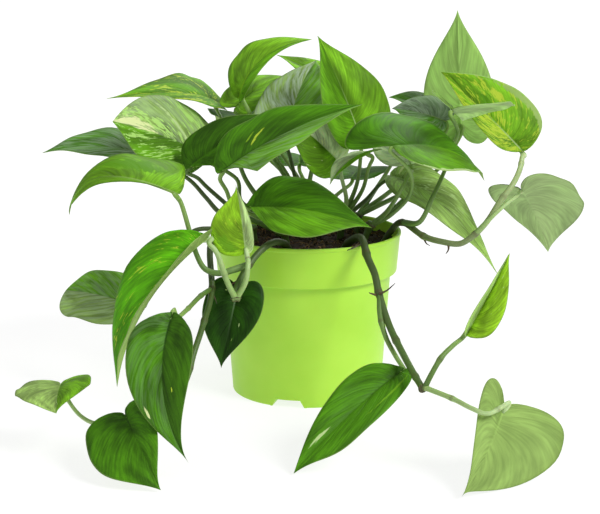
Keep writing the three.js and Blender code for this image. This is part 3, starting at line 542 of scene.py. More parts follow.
def blade_surface(leaf, x, y):
    """Points of the curved middle surface for flat x across and y along."""
    base, middle, tip, length = (leaf[k] for k in ("base", "middle", "tip", "length"))
    t = np.clip(y / length, 0, 1)[:, None]
    along = unit((middle - base) * (1 - t) + (tip - middle) * t)
    centre = base * (1 - t) ** 2 + middle * 2 * t * (1 - t) + tip * t * t
    centre = centre + along * np.minimum(y, 0)[:, None]
    across = unit(np.cross(along, leaf["face"]))
    up = np.cross(across, along)
    half_width = length * leaf["width"] / 2
    r = np.abs(x)
    fold = np.radians(np.where(x < 0, leaf["left"]["fold"], leaf["right"]["fold"]))
    bow = math.radians(leaf["curl"]) / half_width
    out = (np.sin(fold + bow * r) - np.sin(fold)) / bow
    rise = (np.cos(fold) - np.cos(fold + bow * r)) / bow
    phase = 2 * math.pi * WAVES * (y / length) + np.where(x > 0, WAVE_SHIFT, 0)
    rise = rise + length * WAVE * (r / half_width) ** 2 * np.sin(phase)
    rise = rise + length * leaf["lift"] * 8 * np.minimum(y / length, 0) ** 2
    return centre + across * (np.sign(x) * out)[:, None] + up * rise[:, None]


def blade_normal(leaf, x, y):
    e = 0.3
    dx = blade_surface(leaf, x + e, y) - blade_surface(leaf, x - e, y)
    dy = blade_surface(leaf, x, y + e) - blade_surface(leaf, x, y - e)
    return unit(np.cross(dx, dy))


def slanted(u, t):
    """Which vein crosses the blade at share u across and t down."""
    return t + SLANT * (1 - u) * t * (1 - t)


def blade_grid(leaf):
    """Flat x, y and the vein coordinates: across -1 to 1, down 0 to 1."""
    length = leaf["length"]
    half_width = length * leaf["width"] / 2
    share = (np.arange(BLADE_COLUMNS + 1) / BLADE_COLUMNS) ** 1.3  # closer near the midrib
    rows = [np.zeros((4, 1))]
    for i in range(1, BLADE_ROWS):
        t = i / BLADE_ROWS
        midrib = t**2.2
        for sign, half in ((-1, leaf["left"]), (1, leaf["right"])):
            u = share[:0:-1] if sign < 0 else share
            wide, far = outline(t, half)
            arc = 0.05 * np.sin(math.pi * u) * (1 - midrib)
            x = sign * wide * half_width * half["scale"] * u
            y = length * (midrib * (1 - u) + far * u - arc * u)
            rows.append(np.array([x, y, sign * u, slanted(u, t)]))
    rows.append(np.array([[0], [length], [0], [1]]))
    return np.hstack(rows)


def bell(distance, width):
    """1 at no distance, falling to nothing over about twice the width."""
    return np.exp(-((distance / width) ** 2))


def relief(x, y, across, down, length, seed):
    """Height of the blade's upper side over a smooth one: quilting, veins and soft dents."""
    r, u = np.abs(x), np.abs(across)
    phase = down * VEINS + VEIN_SHIFT * np.sign(across)
    vein = np.abs(phase - np.round(phase)) * 2
    ends = np.sin(math.pi * down) ** 0.5
    quilt = RELIEF["quilt"] * vein**0.7 * np.sin(math.pi * u) * ends
    groove, groove_width = RELIEF["groove"]
    shoulder, shoulder_at, shoulder_width = RELIEF["shoulder"]
    rib = shoulder * bell(r - shoulder_at, shoulder_width) - groove * bell(r, groove_width)
    rib = rib * np.clip(1 - y / length, 0.15, 1)
    depth, often = RELIEF["dents"]
    dents = np.array([
        noise.noise(Vector((a * often + seed * 7.3, b * often, seed * 3.1))) for a, b in zip(x, y)
    ])
    return quilt + rib + dents * depth * np.clip(u * 3, 0, 1) * ends


# ---- meshes -------------------------------------------------------------------------


def build_mesh(name, points, faces):
    mesh = bpy.data.meshes.new(name)
    mesh.from_pydata([tuple(p * MM) for p in points], [], faces)
    mesh.update()
    obj = bpy.data.objects.new(name, mesh)
    bpy.context.scene.collection.objects.link(obj)
    return obj


def face(*corners):
    """A face without the corners that stand twice in a row."""
    return tuple(c for i, c in enumerate(corners) if c != corners[i - 1])


def smooth_faces(mesh):
    mesh.polygons.foreach_set("use_smooth", np.ones(len(mesh.polygons), bool))


def float_attribute(mesh, name, values):
    attribute = mesh.attributes.new(name, "FLOAT", "POINT")
    attribute.data.foreach_set("value", np.asarray(values, np.float32))


def tint_attribute(mesh, colours):
    attribute = mesh.color_attributes.new("tint", "FLOAT_COLOR", "POINT")
    rgba = np.ones((len(colours), 4), np.float32)
    rgba[:, :3] = colours
    attribute.data.foreach_set("color", rgba.ravel())


def grid_layer(mesh, places):
    """Stores a pair of grid coordinates for every point."""
    grid = mesh.uv_layers.new(name="grid")
    vertex = np.zeros(len(mesh.loops), np.int32)
    mesh.loops.foreach_get("vertex_index", vertex)
    grid.data.foreach_set("uv", np.array(places, np.float32)[vertex].ravel())


def make_leaf(name, leaf, index):
    """A blade as one closed sheet, its upper side slot 0 and the rest slot 1."""
    length = leaf["length"]
    seed = 0.137 * index + 0.31
    x, y, across, down = blade_grid(leaf)
    count, per_row = len(x), 2 * BLADE_COLUMNS + 1
    middle, normal = blade_surface(leaf, x, y), blade_normal(leaf, x, y)
    height = relief(x, y, across, down, length, seed)
    inward = np.clip((1 - np.abs(across)) * 8, 0, 1)
    inward[[0, -1]] = 0
    half = BLADE_THICKNESS / 2 * (EDGE_THICKNESS + (1 - EDGE_THICKNESS) * inward)
    fade = np.clip(1 - y / length, 0, 1)
    ridge = fade**0.8 * bell(x, RIB_WIDTH + fade) * (y >= -1)
    top = middle + normal * (height + half)[:, None]
    bottom = middle + normal * (height - half - ridge)[:, None]

    def at(i, j):
        return 0 if i == 0 else count - 1 if i == BLADE_ROWS else 1 + (i - 1) * per_row + j

    faces, slots = [], []
    for i in range(BLADE_ROWS):
        for j in range(per_row - 1):
            upper = face(at(i, j), at(i, j + 1), at(i + 1, j + 1), at(i + 1, j))
            faces += [upper, tuple(p + count for p in reversed(upper))]
            slots += [0, 1]
        for a, b in ((at(i + 1, 0), at(i, 0)), (at(i, per_row - 1), at(i + 1, per_row - 1))):
            faces.append((b, a, a + count, b + count))
            slots.append(1)
    obj = build_mesh(name + "_blade", np.vstack([top, bottom]), faces)
    mesh = obj.data
    smooth_faces(mesh)
    mesh.polygons.foreach_set("material_index", np.array(slots, np.int32))
    grid_layer(mesh, np.tile(np.stack([across, down], 1), (2, 1)))
    float_attribute(mesh, "rib", np.tile(np.abs(x), 2))
    float_attribute(mesh, "seed", np.full(2 * count, seed))
    mesh.materials.append(upper_material(name + "_upper", LOOKS.get(name, BACK_LOOK)))
    mesh.materials.append(under_material(name + "_under", LOOKS.get(name, BACK_LOOK)))
    return obj


# ---- materials ----------------------------------------------------------------------


def shade(colour):
    """The linear colour of a name in PALETTE or of a web colour code."""
    code = PALETTE.get(colour, colour)
    parts = [int(code[i : i + 2], 16) / 255 for i in (0, 2, 4)]
    return tuple(c / 12.92 if c <= 0.04045 else ((c + 0.055) / 1.055) ** 2.4 for c in parts) + (1.0,)


def rgb(colour):
    return np.array(shade(colour)[:3])


class Shader:
    """A material's nodes, made and joined by short calls."""

    def __init__(self, name):
        self.material = bpy.data.materials.new(name)
        self.material.use_nodes = True
        self.nodes = self.material.node_tree.nodes
        self.links = self.material.node_tree.links
        self.nodes.clear()

    def node(self, kind, inputs=(), **settings):
        """A node with its settings, and its inputs given as values or as other nodes' outputs."""
        node = self.nodes.new(kind)
        for key, value in settings.items():
            setattr(node, key, value)
        for key, value in dict(inputs).items():
            if isinstance(value, bpy.types.NodeSocket):
                self.links.new(value, node.inputs[key])
            else:
                node.inputs[key].default_value = value
        return node

    def math(self, operation, *values):
        return self.node("ShaderNodeMath", enumerate(values), operation=operation).outputs[0]

    def times(self, a, b):
        return self.math("MULTIPLY", a, b)

    def plus(self, a, b):
        return self.math("ADD", a, b)

    def minus(self, a, b):
        return self.math("SUBTRACT", a, b)

    def vector(self, x, y, z):
        return self.node("ShaderNodeCombineXYZ", {"X": x, "Y": y, "Z": z}).outputs[0]

    def noise(self, vector, scale, detail, roughness=0.5):
        inputs = {"Vector": vector, "Scale": scale, "Detail": detail, "Roughness": roughness}
        return self.node("ShaderNodeTexNoise", inputs).outputs["Fac"]

    def ramp(self, value, low, high, to_low=0.0, to_high=1.0):
        """A smooth step from to_low, where value is low, to to_high, where it is high."""
        inputs = {"Value": value, "From Min": low, "From Max": high, "To Min": to_low, "To Max": to_high}
        return self.node("ShaderNodeMapRange", inputs, interpolation_type="SMOOTHSTEP").outputs[0]

    def mix(self, factor, a, b):
        return self.node("ShaderNodeMix", {0: factor, 6: a, 7: b}, data_type="RGBA").outputs[2]

    def scale(self, colour, factor):
        colour = colour if isinstance(colour, bpy.types.NodeSocket) else colour[:3]
        inputs = {0: colour, "Scale": factor}
        return self.node("ShaderNodeVectorMath", inputs, operation="SCALE").outputs[0]

    def attribute(self, name, output="Fac"):
        return self.node("ShaderNodeAttribute", attribute_name=name).outputs[output]

    def grid(self):
        """The two grid coordinates."""
        uv = self.node("ShaderNodeUVMap", uv_map="grid").outputs[0]
        split = self.node("ShaderNodeSeparateXYZ", {"Vector": uv})
        return split.outputs["X"], split.outputs["Y"]

    def place(self):
        return self.node("ShaderNodeTexCoord").outputs["Object"]

    def bump(self, height, strength, distance):
        inputs = {"Strength": strength, "Distance": distance, "Height": height}
        return self.node("ShaderNodeBump", inputs).outputs[0]

    def body(self, colour, roughness, more):
        inputs = {"Base Color": colour, "Roughness": roughness, **more}
        return self.node("ShaderNodeBsdfPrincipled", inputs).outputs[0]

    def finish(self, surface):
        self.node("ShaderNodeOutputMaterial", {"Surface": surface})
        return self.material


class BladeShader(Shader):
    """A material laid out on a blade's own grid of veins."""

    def __init__(self, name, drift):
        super().__init__(name)
        self.across, self.down = self.grid()
        self.out = self.math("ABSOLUTE", self.across)
        self.drift = self.times(self.attribute("seed"), drift)

    def pattern(self, name):
        across, down, detail, roughness = PATTERNS[name]
        place = self.vector(self.times(self.across, across), self.times(self.down, down), self.drift)
        return self.noise(place, 1, detail, roughness)

    def veins(self, often, wide):
        """1 on a vein, 0 between, with often times as many as there are lateral veins."""
        shift = self.times(self.math("SIGN", self.across), VEIN_SHIFT)
        phase = self.plus(self.times(self.down, float(VEINS * often)), shift)
        off = self.math("ABSOLUTE", self.minus(self.math("FRACT", phase), 0.5))
        return self.ramp(off, 0.5 - wide, 0.5)

    def rib_line(self, edge, core, end):
        """1 up to core mm from the midrib, 0 from edge mm on, and fading to 0 from end to the tip."""
        return self.times(self.ramp(self.attribute("rib"), edge, core), self.ramp(self.down, 1.0, end))

    def margin(self, colour, look, strength):
        at_edge = self.ramp(self.out, 0.965, 0.99, 0.0, strength)
        return self.mix(at_edge, colour, shade(look["edge"]))

    def by_half(self, side, pair):
        inputs = {0: side, 2: pair[0], 3: pair[1]}
        return self.node("ShaderNodeMix", inputs, data_type="FLOAT").outputs[0]

    def spot(self, colour, mark):
        """A ragged mark of another colour."""
        across, down, half_across, half_down, name = mark
        a = self.math("DIVIDE", self.minus(self.across, across), half_across)
        d = self.math("DIVIDE", self.minus(self.down, slanted(abs(across), down)), half_down)
        far = self.math("SQRT", self.plus(self.times(a, a), self.times(d, d)))
        ragged = self.times(self.minus(self.pattern("spot_edge"), 0.5), 2.2)
        return self.mix(self.ramp(self.plus(far, ragged), 1.0, 0.6), colour, shade(name))

    def finish_thin(self, colour, roughness, bump, coat, glow_colour, glow):
        """A waxy skin that lets a share of the light through."""
        body = self.body(colour, roughness, {
            "IOR": 1.45,
            "Specular IOR Level": 0.16,
            "Coat Weight": coat,
            "Coat Roughness": 0.3,
            "Normal": bump,
        })
        through = self.node("ShaderNodeBsdfTranslucent", {"Color": glow_colour, "Normal": bump})
        both = self.node("ShaderNodeMixShader", {0: glow, 1: body, 2: through.outputs[0]})
        return self.finish(both.outputs[0])


def upper_material(name, look):
    """Two halves of a blade: soft clouds and streaks, veins, painted sheen, flecks, spots and midrib."""
    s = BladeShader(name, 13.0)
    side = s.ramp(s.across, -0.015, 0.015)  # 0 in the left half, 1 in the right
    colour = s.mix(side, shade(look["left"]), shade(look["right"]))
    # Each ramp's last two numbers are the brightness at its start and at its end.
    broad, streaks = s.pattern("broad"), s.pattern("streaks")
    tone = s.times(s.ramp(broad, 0.34, 0.66, 0.66, 1.42), s.ramp(streaks, 0.32, 0.68, 0.8, 1.24))
    middle_dark = s.times(s.ramp(s.out, 0.0, 0.3, 0.84, 1.0), s.ramp(s.out, 0.2, 1.0, 0.96, 1.1))
    colour = s.scale(colour, s.times(tone, middle_dark))
    veins = s.times(s.veins(1, 0.1), s.ramp(s.out, 1.0, 0.2))
    colour = s.mix(s.times(veins, 0.45), colour, s.scale(colour, look["vein"]))
    colour = s.mix(s.times(s.veins(5, 0.2), 0.13), colour, s.scale(colour, 0.55))
    # Painted sheen: silvery streaks of painted highlight mixed into the colour.
    if max(look["sheen"]) > 0:
        painted_highlight_silver = s.times(s.ramp(s.pattern("painted_highlight_silver"), 0.38, 0.64), s.by_half(side, look["sheen"]))
        colour = s.mix(painted_highlight_silver, colour, shade("painted_highlight_silver"))
    if max(look["flecks"]) > 0:
        mottle = s.plus(s.times(s.pattern("patches"), 0.5), s.times(s.pattern("dots"), 0.5))
        over = s.minus(mottle, s.by_half(side, [0.66 - 0.26 * share for share in look["flecks"]]))
        colour = s.mix(s.ramp(over, 0.0, 0.06, 0.0, 0.9), colour, shade(look["fleck"]))
    for mark in look["spots"]:
        colour = s.spot(colour, mark)
    colour = s.mix(s.times(s.rib_line(0.95, 0.35, 0.55), 0.8), colour, shade(look["rib"]))
    colour = s.margin(colour, look, 0.6)
    height = s.minus(s.plus(s.times(streaks, 0.8), s.times(broad, 0.5)), s.times(veins, 0.5))
    bump = s.bump(height, 0.5, 0.0009)
    smoothest = 0.6 - 0.3 * look["shine"]
    roughness = s.ramp(streaks, 0.2, 0.8, smoothest, smoothest + 0.16)
    coat = 0.04 * look["shine"]
    return s.finish_thin(colour, roughness, bump, coat, s.scale(colour, 1.5), look["glow"])


def under_material(name, look):
    """The plainer underside, with veins that stand out."""
    s = BladeShader(name, 17.0)
    plain = shade(look["under"])
    broad, streaks = s.pattern("under_broad"), s.pattern("under_streaks")
    tone = s.times(s.ramp(broad, 0.3, 0.7, 0.78, 1.14), s.ramp(streaks, 0.3, 0.7, 0.86, 1.1))
    colour = s.scale(plain, tone)
    veins = s.times(s.veins(1, 0.07), s.ramp(s.out, 1.0, 0.1))
    colour = s.mix(s.times(veins, 0.4), colour, s.scale(plain, 0.62))
    colour = s.mix(s.times(s.veins(4, 0.14), 0.1), colour, s.scale(colour, 0.7))
    colour = s.mix(s.times(s.rib_line(1.2, 0.4, 0.4), 0.6), colour, s.scale(plain, 1.3))
    colour = s.margin(colour, look, 0.5)
    bump = s.bump(s.plus(s.times(streaks, 0.5), s.times(veins, 0.6)), 0.4, 0.0006)
    return s.finish_thin(colour, 0.6, bump, 0.0, s.scale(colour, 1.2), look["glow"])


def stem_material():
    s = Shader("stem_skin")
    around, along = s.grid()
    streaks = s.noise(s.vector(s.times(around, 26.0), s.times(along, 6.0), 0.0), 1, 3)
    blotches = s.noise(s.vector(s.times(around, 4.0), s.times(along, 22.0), 3.0), 1, 4)
    tone = s.plus(s.plus(s.times(streaks, 0.5), s.times(blotches, 0.4)), 0.55)
    colour = s.scale(s.attribute("tint", "Color"), tone)
    return s.finish(s.body(colour, s.ramp(blotches, 0.2, 0.8, 0.38, 0.6), {
        "IOR": 1.45,
        "Subsurface Weight": 0.08,
        "Subsurface Scale": 0.002,
        "Normal": s.bump(streaks, 0.4, 0.0004),
    }))


def pot_material():
    s = Shader("pot_plastic")
    flow = s.noise(s.place(), 22.0, 3)
    grain = s.noise(s.place(), 900.0, 3)
    colour = s.mix(s.ramp(flow, 0.25, 0.75), shade("plastic"), shade("plastic_light"))
    return s.finish(s.body(colour, s.ramp(grain, 0.2, 0.8, 0.38, 0.48), {
        "IOR": 1.48,
        "Specular IOR Level": 0.4,
        "Subsurface Weight": 0.12,
        "Subsurface Scale": 0.004,
        "Normal": s.bump(grain, 0.06, 0.0003),
    }))


def soil_material():
    s = Shader("soil_compost")
    crumbs = s.noise(s.place(), 260.0, 5, 0.65)
    damp = s.noise(s.place(), 45.0, 3)
    tone = s.plus(s.plus(s.times(crumbs, 1.1), s.times(damp, 0.5)), 0.15)
    colour = s.scale(s.attribute("tint", "Color"), tone)
    return s.finish(s.body(colour, 0.92, {"IOR": 1.4, "Normal": s.bump(crumbs, 0.9, 0.0012)}))


def floor_material():
    s = Shader("studio_floor")
    return s.finish(s.body((0.25, 0.25, 0.25, 1.0), 0.9, {
        "Specular IOR Level": 0.1,
        "Emission Color": (1.0, 1.0, 1.0, 1.0),
        "Emission Strength": 0.8,
    }))


# ---- stems --------------------------------------------------------------------------


def curve_points(points, step):
    """Points every step or so along a smooth curve through the given ones."""
    points = np.array(points, float)
    p = np.vstack([2 * points[0] - points[1], points, 2 * points[-1] - points[-2]])
    out = []
    for a, b, c, d in zip(p, p[1:], p[2:], p[3:]):
        spans = max(2, int(np.linalg.norm(c - b) / step))
        for t in np.arange(spans) / spans:
            bend = (2 * a - 5 * b + 4 * c - d) * t**2 + (3 * b - a - 3 * c + d) * t**3
            out.append(0.5 * (2 * b + (c - a) * t + bend))
    out.append(points[-1])
    return np.array(out)


def arc_lengths(path):
    """How far along the path each of its points lies."""
    steps = np.linalg.norm(np.diff(path, axis=0), axis=1)
    return np.concatenate([[0], np.cumsum(steps)])


def petiole_end(leaf, in_front, radius):
    """The last two points of a petiole, which meets the blade's base from behind or in front."""
    along = unit(leaf["middle"] - leaf["base"])
    across = unit(np.cross(along, leaf["face"]))
    up = np.cross(across, along) * (1 if in_front else -1)
    times, more = PETIOLE["stand_off"]
    turn = leaf["base"] + up * times * (radius + more) - along * PETIOLE["turn"]
    return [turn, leaf["base"] + up * PETIOLE["end_height"] + along * PETIOLE["overlap"]]


class Tubes:
    """Round bars of one piece, gathered into one mesh."""

    def __init__(self):
        self.points, self.faces, self.grid, self.tint = [], [], [], []

    def add(self, path, radius, tint, groove=0.0, sides=STEM_SIDES):
        """radius and tint hold one entry for every point of the path."""
        start = len(self.points)
        travel = unit(np.gradient(path, axis=0))
        arc = arc_lengths(path)
        up = np.cross(np.array([0.31, 0.87, 0.38]), travel[0])
        for i, (centre, along) in enumerate(zip(path, travel)):
            up = unit(up - along * (up @ along))
            side = np.cross(along, up)
            for k in range(sides):
                a = 2 * math.pi * k / sides
                r = radius[i] * (1 - groove * bell(a - math.pi, 0.5))
                self.points.append(centre + up * r * math.cos(a) + side * r * math.sin(a))
                self.grid.append((k / sides, arc[i] * 0.02))
                self.tint.append(tint[i])
        last = start + (len(path) - 1) * sides
        for row in range(start, last, sides):
            for k in range(sides):
                a, b = row + k, row + (k + 1) % sides
                self.faces.append((a, b, b + sides, a + sides))
        self.faces.append(tuple(reversed(range(start, start + sides))))
        self.faces.append(tuple(range(last, last + sides)))

    def make(self, name, material):
        obj = build_mesh(name, self.points, self.faces)
        smooth_faces(obj.data)
        grid_layer(obj.data, self.grid)
        tint_attribute(obj.data, self.tint)
        obj.data.materials.append(material)
        return obj


def ring_places(path, bars, own):
    """Where a stem has its swollen rings: at its branches and, on a long one, between them."""
    places = []
    for other in bars:
        gaps = np.linalg.norm(path - np.array(other["path"][0], float), axis=1)
        if other is not own and gaps.min() < RINGS["branch_gap"]:
            places.append(arc_lengths(path)[np.argmin(gaps)])
    whole = arc_lengths(path)[-1]
    if whole > RINGS["long"]:
        between = np.arange(RINGS["start"], whole - RINGS["end"], RINGS["spacing"])
        places += [p for p in between if all(abs(p - q) > RINGS["apart"] for q in places)]
    return places


def make_stems(name, bars, leaves, material):
    tubes = Tubes()
    for own in bars:
        points = [np.array(p, float) for p in own["path"]]
        start_radius, end_radius = own["radius"]
        if own["leaf"]:
            points += petiole_end(leaves[own["leaf"]], own["in_front"], end_radius)
        path = curve_points(points, STEM_STEP)
        share = np.linspace(0, 1, len(path))
        radius = start_radius + (end_radius - start_radius) * share
        low, high = (rgb(code) for code in STEM_COLOURS[own["tone"]])
        tint = low + (high - low) * (share**1.4)[:, None]
        rooted = own["path"][0][2] < SOIL["top"] - 5
        if rooted:
            for place in ring_places(path, bars, own):
                off = arc_lengths(path) - place
                radius = radius * (1 + RINGS["swell"] * bell(off, RINGS["length"]))
                scar = RINGS["scar"] * bell(off, RINGS["scar_length"])[:, None]
                tint = tint * (1 - scar) + rgb("scar") * scar
        else:
            reach, thicker, paler = PETIOLE["sheath"]
            radius = radius * (1 + thicker * bell(share, reach))
            tint = tint + (rgb("sheath") - tint) * (paler * bell(share, reach))[:, None]
        if own["leaf"]:
            reach, thicker = PETIOLE["collar"]
            radius = radius * (1 + thicker * bell(1 - share, reach))
            reach, end = PETIOLE["taper"]
            radius = radius * np.clip(end + (1 - end) * (1 - share) / reach, end, 1)
        tubes.add(path, radius, tint, groove=0.0 if rooted else PETIOLE["groove"])
    for *points, radius in AERIAL_ROOTS.get(name, ()):
        path = curve_points(points, ROOT_STEP)
        share = np.linspace(0, 1, len(path))
        tint = rgb("root") + (rgb("root_tip") - rgb("root")) * share[:, None]
        tubes.add(path, radius * (1 - 0.75 * share), tint, sides=ROOT_SIDES)
    return tubes.make(name + "_stems", material)


# ---- pot ----------------------------------------------------------------------------


def circle(radius, z, count):
    turns = [2 * math.pi * k / count for k in range(count)]
    return [np.array([radius * math.cos(a), radius * math.sin(a), z]) for a in turns]


def turned(profile, segments):
    """Points and faces of a closed turned body. The profile runs from axis to axis."""
    points, faces, rings = [], [], []
    for r, z in profile:
        ring = circle(r, z, segments if r > 0 else 1)
        rings.append([len(points) + k % len(ring) for k in range(segments)])
        points += ring
    for low, high in zip(rings, rings[1:]):
        for k in range(segments):
            n = (k + 1) % segments
            faces.append(face(low[k], low[n], high[n], high[k]))
    return points, faces


def lathe(name, profile, segments):
    return build_mesh(name, *turned(profile, segments))


def prism(name, near, far):
    """A closed body between two rings with as many points."""
    n = len(near)
    faces = [tuple(reversed(range(n))), tuple(range(n, 2 * n))]
    faces += [(k, (k + 1) % n, (k + 1) % n + n, k + n) for k in range(n)]
    return build_mesh(name, near + far, faces)


def pocket_block(angle, extra, outer_radius):
    """The room of a foot pocket, grown by extra."""
    low, high = POCKET["outer_width"] / 2 + extra, POCKET["top_width"] / 2 + extra
    top = POCKET["height"] + extra
    section = ((-low, -1), (low, -1), (high, top), (-high, top))
    out = np.array([math.cos(angle), math.sin(angle), 0])
    side = np.array([-math.sin(angle), math.cos(angle), 0])
    up = np.array([0, 0, 1.0])
    radii = (POCKET["inner_radius"] - extra, outer_radius)
    return prism("pocket", *([out * r + side * x + up * z for x, z in section] for r in radii))


def drain_bar(angle):
    centre = POCKET["drain_at"] * np.array([math.cos(angle), math.sin(angle), 0])
    reach, sides = POCKET["drain_reach"], POCKET["drain_sides"]
    ends = (circle(POCKET["drain_radius"], z, sides) for z in (-reach, reach))
    return prism("drain", *([centre + p for p in ring] for ring in ends))


def boolean(target, tool, operation):
    modifier = target.modifiers.new("cut", "BOOLEAN")
    modifier.operation = operation
    modifier.solver = "EXACT"
    modifier.object = tool
    depsgraph = bpy.context.evaluated_depsgraph_get()
    mesh = bpy.data.meshes.new_from_object(target.evaluated_get(depsgraph))
    target.modifiers.clear()
    old = target.data
    target.data = mesh
    bpy.data.meshes.remove(old)
    bpy.data.objects.remove(tool)


def rounded(corners, radius, steps=4):
    """A profile with its inner corners rounded."""
    out = [corners[0]]
    for a, b, c in zip(corners, corners[1:], corners[2:]):
        a, b, c = (np.array(p, float) for p in (a, b, c))
        cut = min(radius, np.linalg.norm(a - b) / 2.2, np.linalg.norm(c - b) / 2.2)
        start, end = b + unit(a - b) * cut, b + unit(c - b) * cut
        for t in np.linspace(0, 1, steps + 1):
            out.append(tuple((1 - t) ** 2 * start + 2 * t * (1 - t) * b + t * t * end))
    out.append(corners[-1])
    return out


def make_pot():
    wall, foot, rim = POT["wall"], POT["foot_radius"], POT["rim_radius"]
    body, collar = POT["body_top_radius"], POT["collar_bottom_radius"]
    collar_top, lip = POT["collar_top_radius"], POT["height"] - POT["lip_height"]
    wider, band = POT["foot_band"]
    slope_out, slope_in = POT["lip_slope"]
    ledge = POT["collar_bottom"] + wall
    profile = rounded([
        (0, 0),
        (foot, 0),
        (foot + wider, band),
        (body, POT["collar_bottom"]),
        (collar, POT["collar_bottom"]),
        (collar_top, lip),
        (rim, lip + slope_out),
        (rim, POT["height"]),
        (rim - POT["rim_width"], POT["height"]),
        (collar_top - wall, lip - slope_in),
        (collar - wall, ledge),
        (body - wall, ledge),
        (foot - wall, POT["floor"]),
        (0, POT["floor"]),
    ], POT["rounding"])
    pot = lathe("pot_shell", profile, POT["segments"])
    first, count = POCKET["first_angle"], POCKET["count"]
    angles = [math.radians(first + 360 / count * i) for i in range(count)]
    (out_low, low), (out_high, high) = POCKET["skin"]
    skin = [(0, low), (foot + out_low, low), (foot + out_high, high), (0, high)]
    ground = [(0, -9), (90, -9), (90, 0), (0, 0)]  # all that would reach under the pot
    for angle in angles:
        block = pocket_block(angle, wall, rim)
        boolean(block, lathe("skin", skin, POT["segments"]), "INTERSECT")
        boolean(block, lathe("ground", ground, POCKET["drain_sides"]), "DIFFERENCE")
        boolean(pot, block, "UNION")
    for angle in angles:
        boolean(pot, pocket_block(angle, 0, rim + POCKET["cut_depth"]), "DIFFERENCE")
        boolean(pot, drain_bar(angle), "DIFFERENCE")
    smooth_faces(pot.data)
    pot.data.set_sharp_from_angle(angle=math.radians(POT["sharp_angle"]))
    pot.data.materials.append(pot_material())
    return pot


# ---- soil ---------------------------------------------------------------------------


def soil_height(x, y):
    bumps = math.sin(x * 0.19 + 0.7) * math.cos(y * 0.16) + 0.5 * math.sin(x * 0.43 - y * 0.37 + 1.9)
    lumps = noise.fractal(Vector((x, y, 4.0)) * 0.11, 0.7, 2.2, 5)
    return SOIL["top"] + 1.3 * bumps + 2.0 * lumps


def random_place(rng, share):
    """A place on the soil, out to a share of its radius."""
    r, a = SOIL["edge_radius"] * math.sqrt(rng.random()) * share, rng.uniform(0, 2 * math.pi)
    return r * math.cos(a), r * math.sin(a)


def add_crumb(parts, rng, dark, light):
    """A crumb or a chip of bark that lies half in the soil."""
    x, y = random_place(rng, 0.97)
    size = rng.uniform(*SOIL["crumb_size"])
    turn = Vector((rng.gauss(0, 1), rng.gauss(0, 1), rng.gauss(0, 0.5))).normalized()
    centre = Vector((x, y, soil_height(x, y) + size * 0.2))
    path = np.array([centre + turn * size * s for s in (-1, -0.4, 0.4, 1)])
    colour = dark * 0.8 + (light - dark) * rng.random() ** 3 * 0.8
    width = size * rng.uniform(0.35, 0.7)
    parts.add(path, [width * s for s in (0.4, 1, 0.9, 0.3)], [colour] * 4, sides=5)


def add_fibre(parts, rng, dark, light):
    """A thin fibre that arches a little off the soil."""
    x, y = random_place(rng, 0.95)
    heading, length = rng.uniform(0, 2 * math.pi), rng.uniform(*SOIL["fibre_length"])
    path = []
    for s in np.linspace(-0.5, 0.5, 6):
        heading += rng.uniform(-0.25, 0.25)
        px, py = x + math.cos(heading) * length * s, y + math.sin(heading) * length * s
        inside = min(1.0, (SOIL["edge_radius"] - 1) / math.hypot(px, py))
        px, py = px * inside, py * inside
        arch = (0.25 - s * s) * rng.uniform(0, 9)
        path.append([px, py, soil_height(px, py) + 0.5 + arch])
    colour = dark + (light - dark) * rng.uniform(0.3, 1.0)
    parts.add(np.array(path), [SOIL["fibre_radius"]] * 6, [colour] * 6, sides=5)


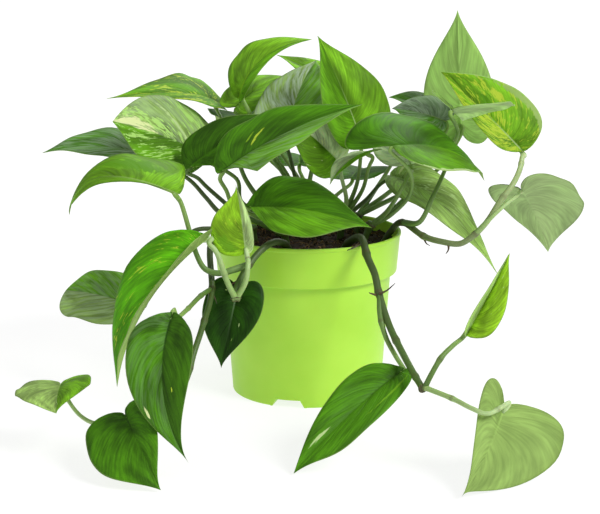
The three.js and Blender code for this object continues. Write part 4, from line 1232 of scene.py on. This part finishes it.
def make_soil():
    rings, segments, edge = SOIL["rings"], SOIL["segments"], SOIL["edge_radius"]
    inset = POT["wall"] + SOIL["gap"]
    ledge, foot = POT["collar_bottom"] + inset, POT["foot_radius"] - inset
    profile = [(edge * i / rings, 0) for i in range(rings + 1)] + [
        (POT["collar_bottom_radius"] - inset, ledge),
        (POT["body_top_radius"] - inset, ledge),
        (foot, SOIL["bottom"]),
        (foot - POT["rounding"], SOIL["bottom"]),
        (0, SOIL["bottom"]),
    ]
    points, faces = turned(profile, segments)
    faces = [(f[0], *f[:0:-1]) for f in faces]  # turned inside out, as the profile runs down
    edge_start = 1 + (rings - 1) * segments
    for i, p in enumerate(points[: edge_start + segments]):
        p[2] = soil_height(p[0], p[1]) - (SOIL["edge_drop"] if i >= edge_start else 0)
    dark, light = rgb("earth"), rgb("bark")
    tint = [dark] * len(points)
    parts = Tubes()
    rng = random.Random(7)
    for _ in range(SOIL["crumbs"]):
        add_crumb(parts, rng, dark, light)
    for _ in range(SOIL["fibres"]):
        add_fibre(parts, rng, dark, light)
    faces += [tuple(v + len(points) for v in f) for f in parts.faces]
    obj = build_mesh("soil_compost", points + parts.points, faces)
    smooth_faces(obj.data)
    tint_attribute(obj.data, np.array(tint + parts.tint))
    obj.data.materials.append(soil_material())
    return obj


# ---- the plant ----------------------------------------------------------------------

pot = make_pot()
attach(pot, "root")
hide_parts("pot")

soil = make_soil()
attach(soil, "root")
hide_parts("soil")

leaves = {name: lay_out(leaf) for name, leaf in LEAVES.items()}
for index, (name, leaf) in enumerate(leaves.items()):
    blade_piece = make_leaf(name, leaf, index)
    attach(blade_piece, "root")
    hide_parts(name)

stem_surface = stem_material()
for name, bars in STEMS.items():
    stems = make_stems(name, bars, leaves, stem_surface)
    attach(stems, "root")
    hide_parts(name)

# ---- studio -------------------------------------------------------------------------

corners = [np.array([x, y, 0]) * FLOOR_HALF for x, y in ((-1, -1), (1, -1), (1, 1), (-1, 1))]
floor = build_mesh("studio_floor", corners, [(0, 1, 2, 3)])
floor.data.materials.append(floor_material())

world = bpy.data.worlds.new("studio")
bpy.context.scene.world = world
world.use_nodes = True
world.node_tree.nodes["Background"].inputs["Color"].default_value = (1, 1, 1, 1)
world.node_tree.nodes["Background"].inputs["Strength"].default_value = SKY
bpy.context.scene.view_settings.view_transform = "Standard"

for name, towards, power, spread in SUNS:
    light = bpy.data.lights.new(name, "SUN")
    light.energy = power
    light.angle = math.radians(spread)
    sun = bpy.data.objects.new(name, light)
    bpy.context.scene.collection.objects.link(sun)
    sun.location = towards
    sun.rotation_euler = Vector(towards).to_track_quat("Z", "Y").to_euler()

camera_data = bpy.data.cameras.new("camera")
camera = bpy.data.objects.new("camera", camera_data)
bpy.context.scene.collection.objects.link(camera)
bpy.context.scene.camera = camera
camera_data.sensor_width = CAMERA_SENSOR
camera_data.lens = CAMERA_LENS
camera_data.clip_end = 100
camera.location = CAMERA_AT
camera.rotation_euler = (math.radians(90 - CAMERA_DOWN), 0, 0)
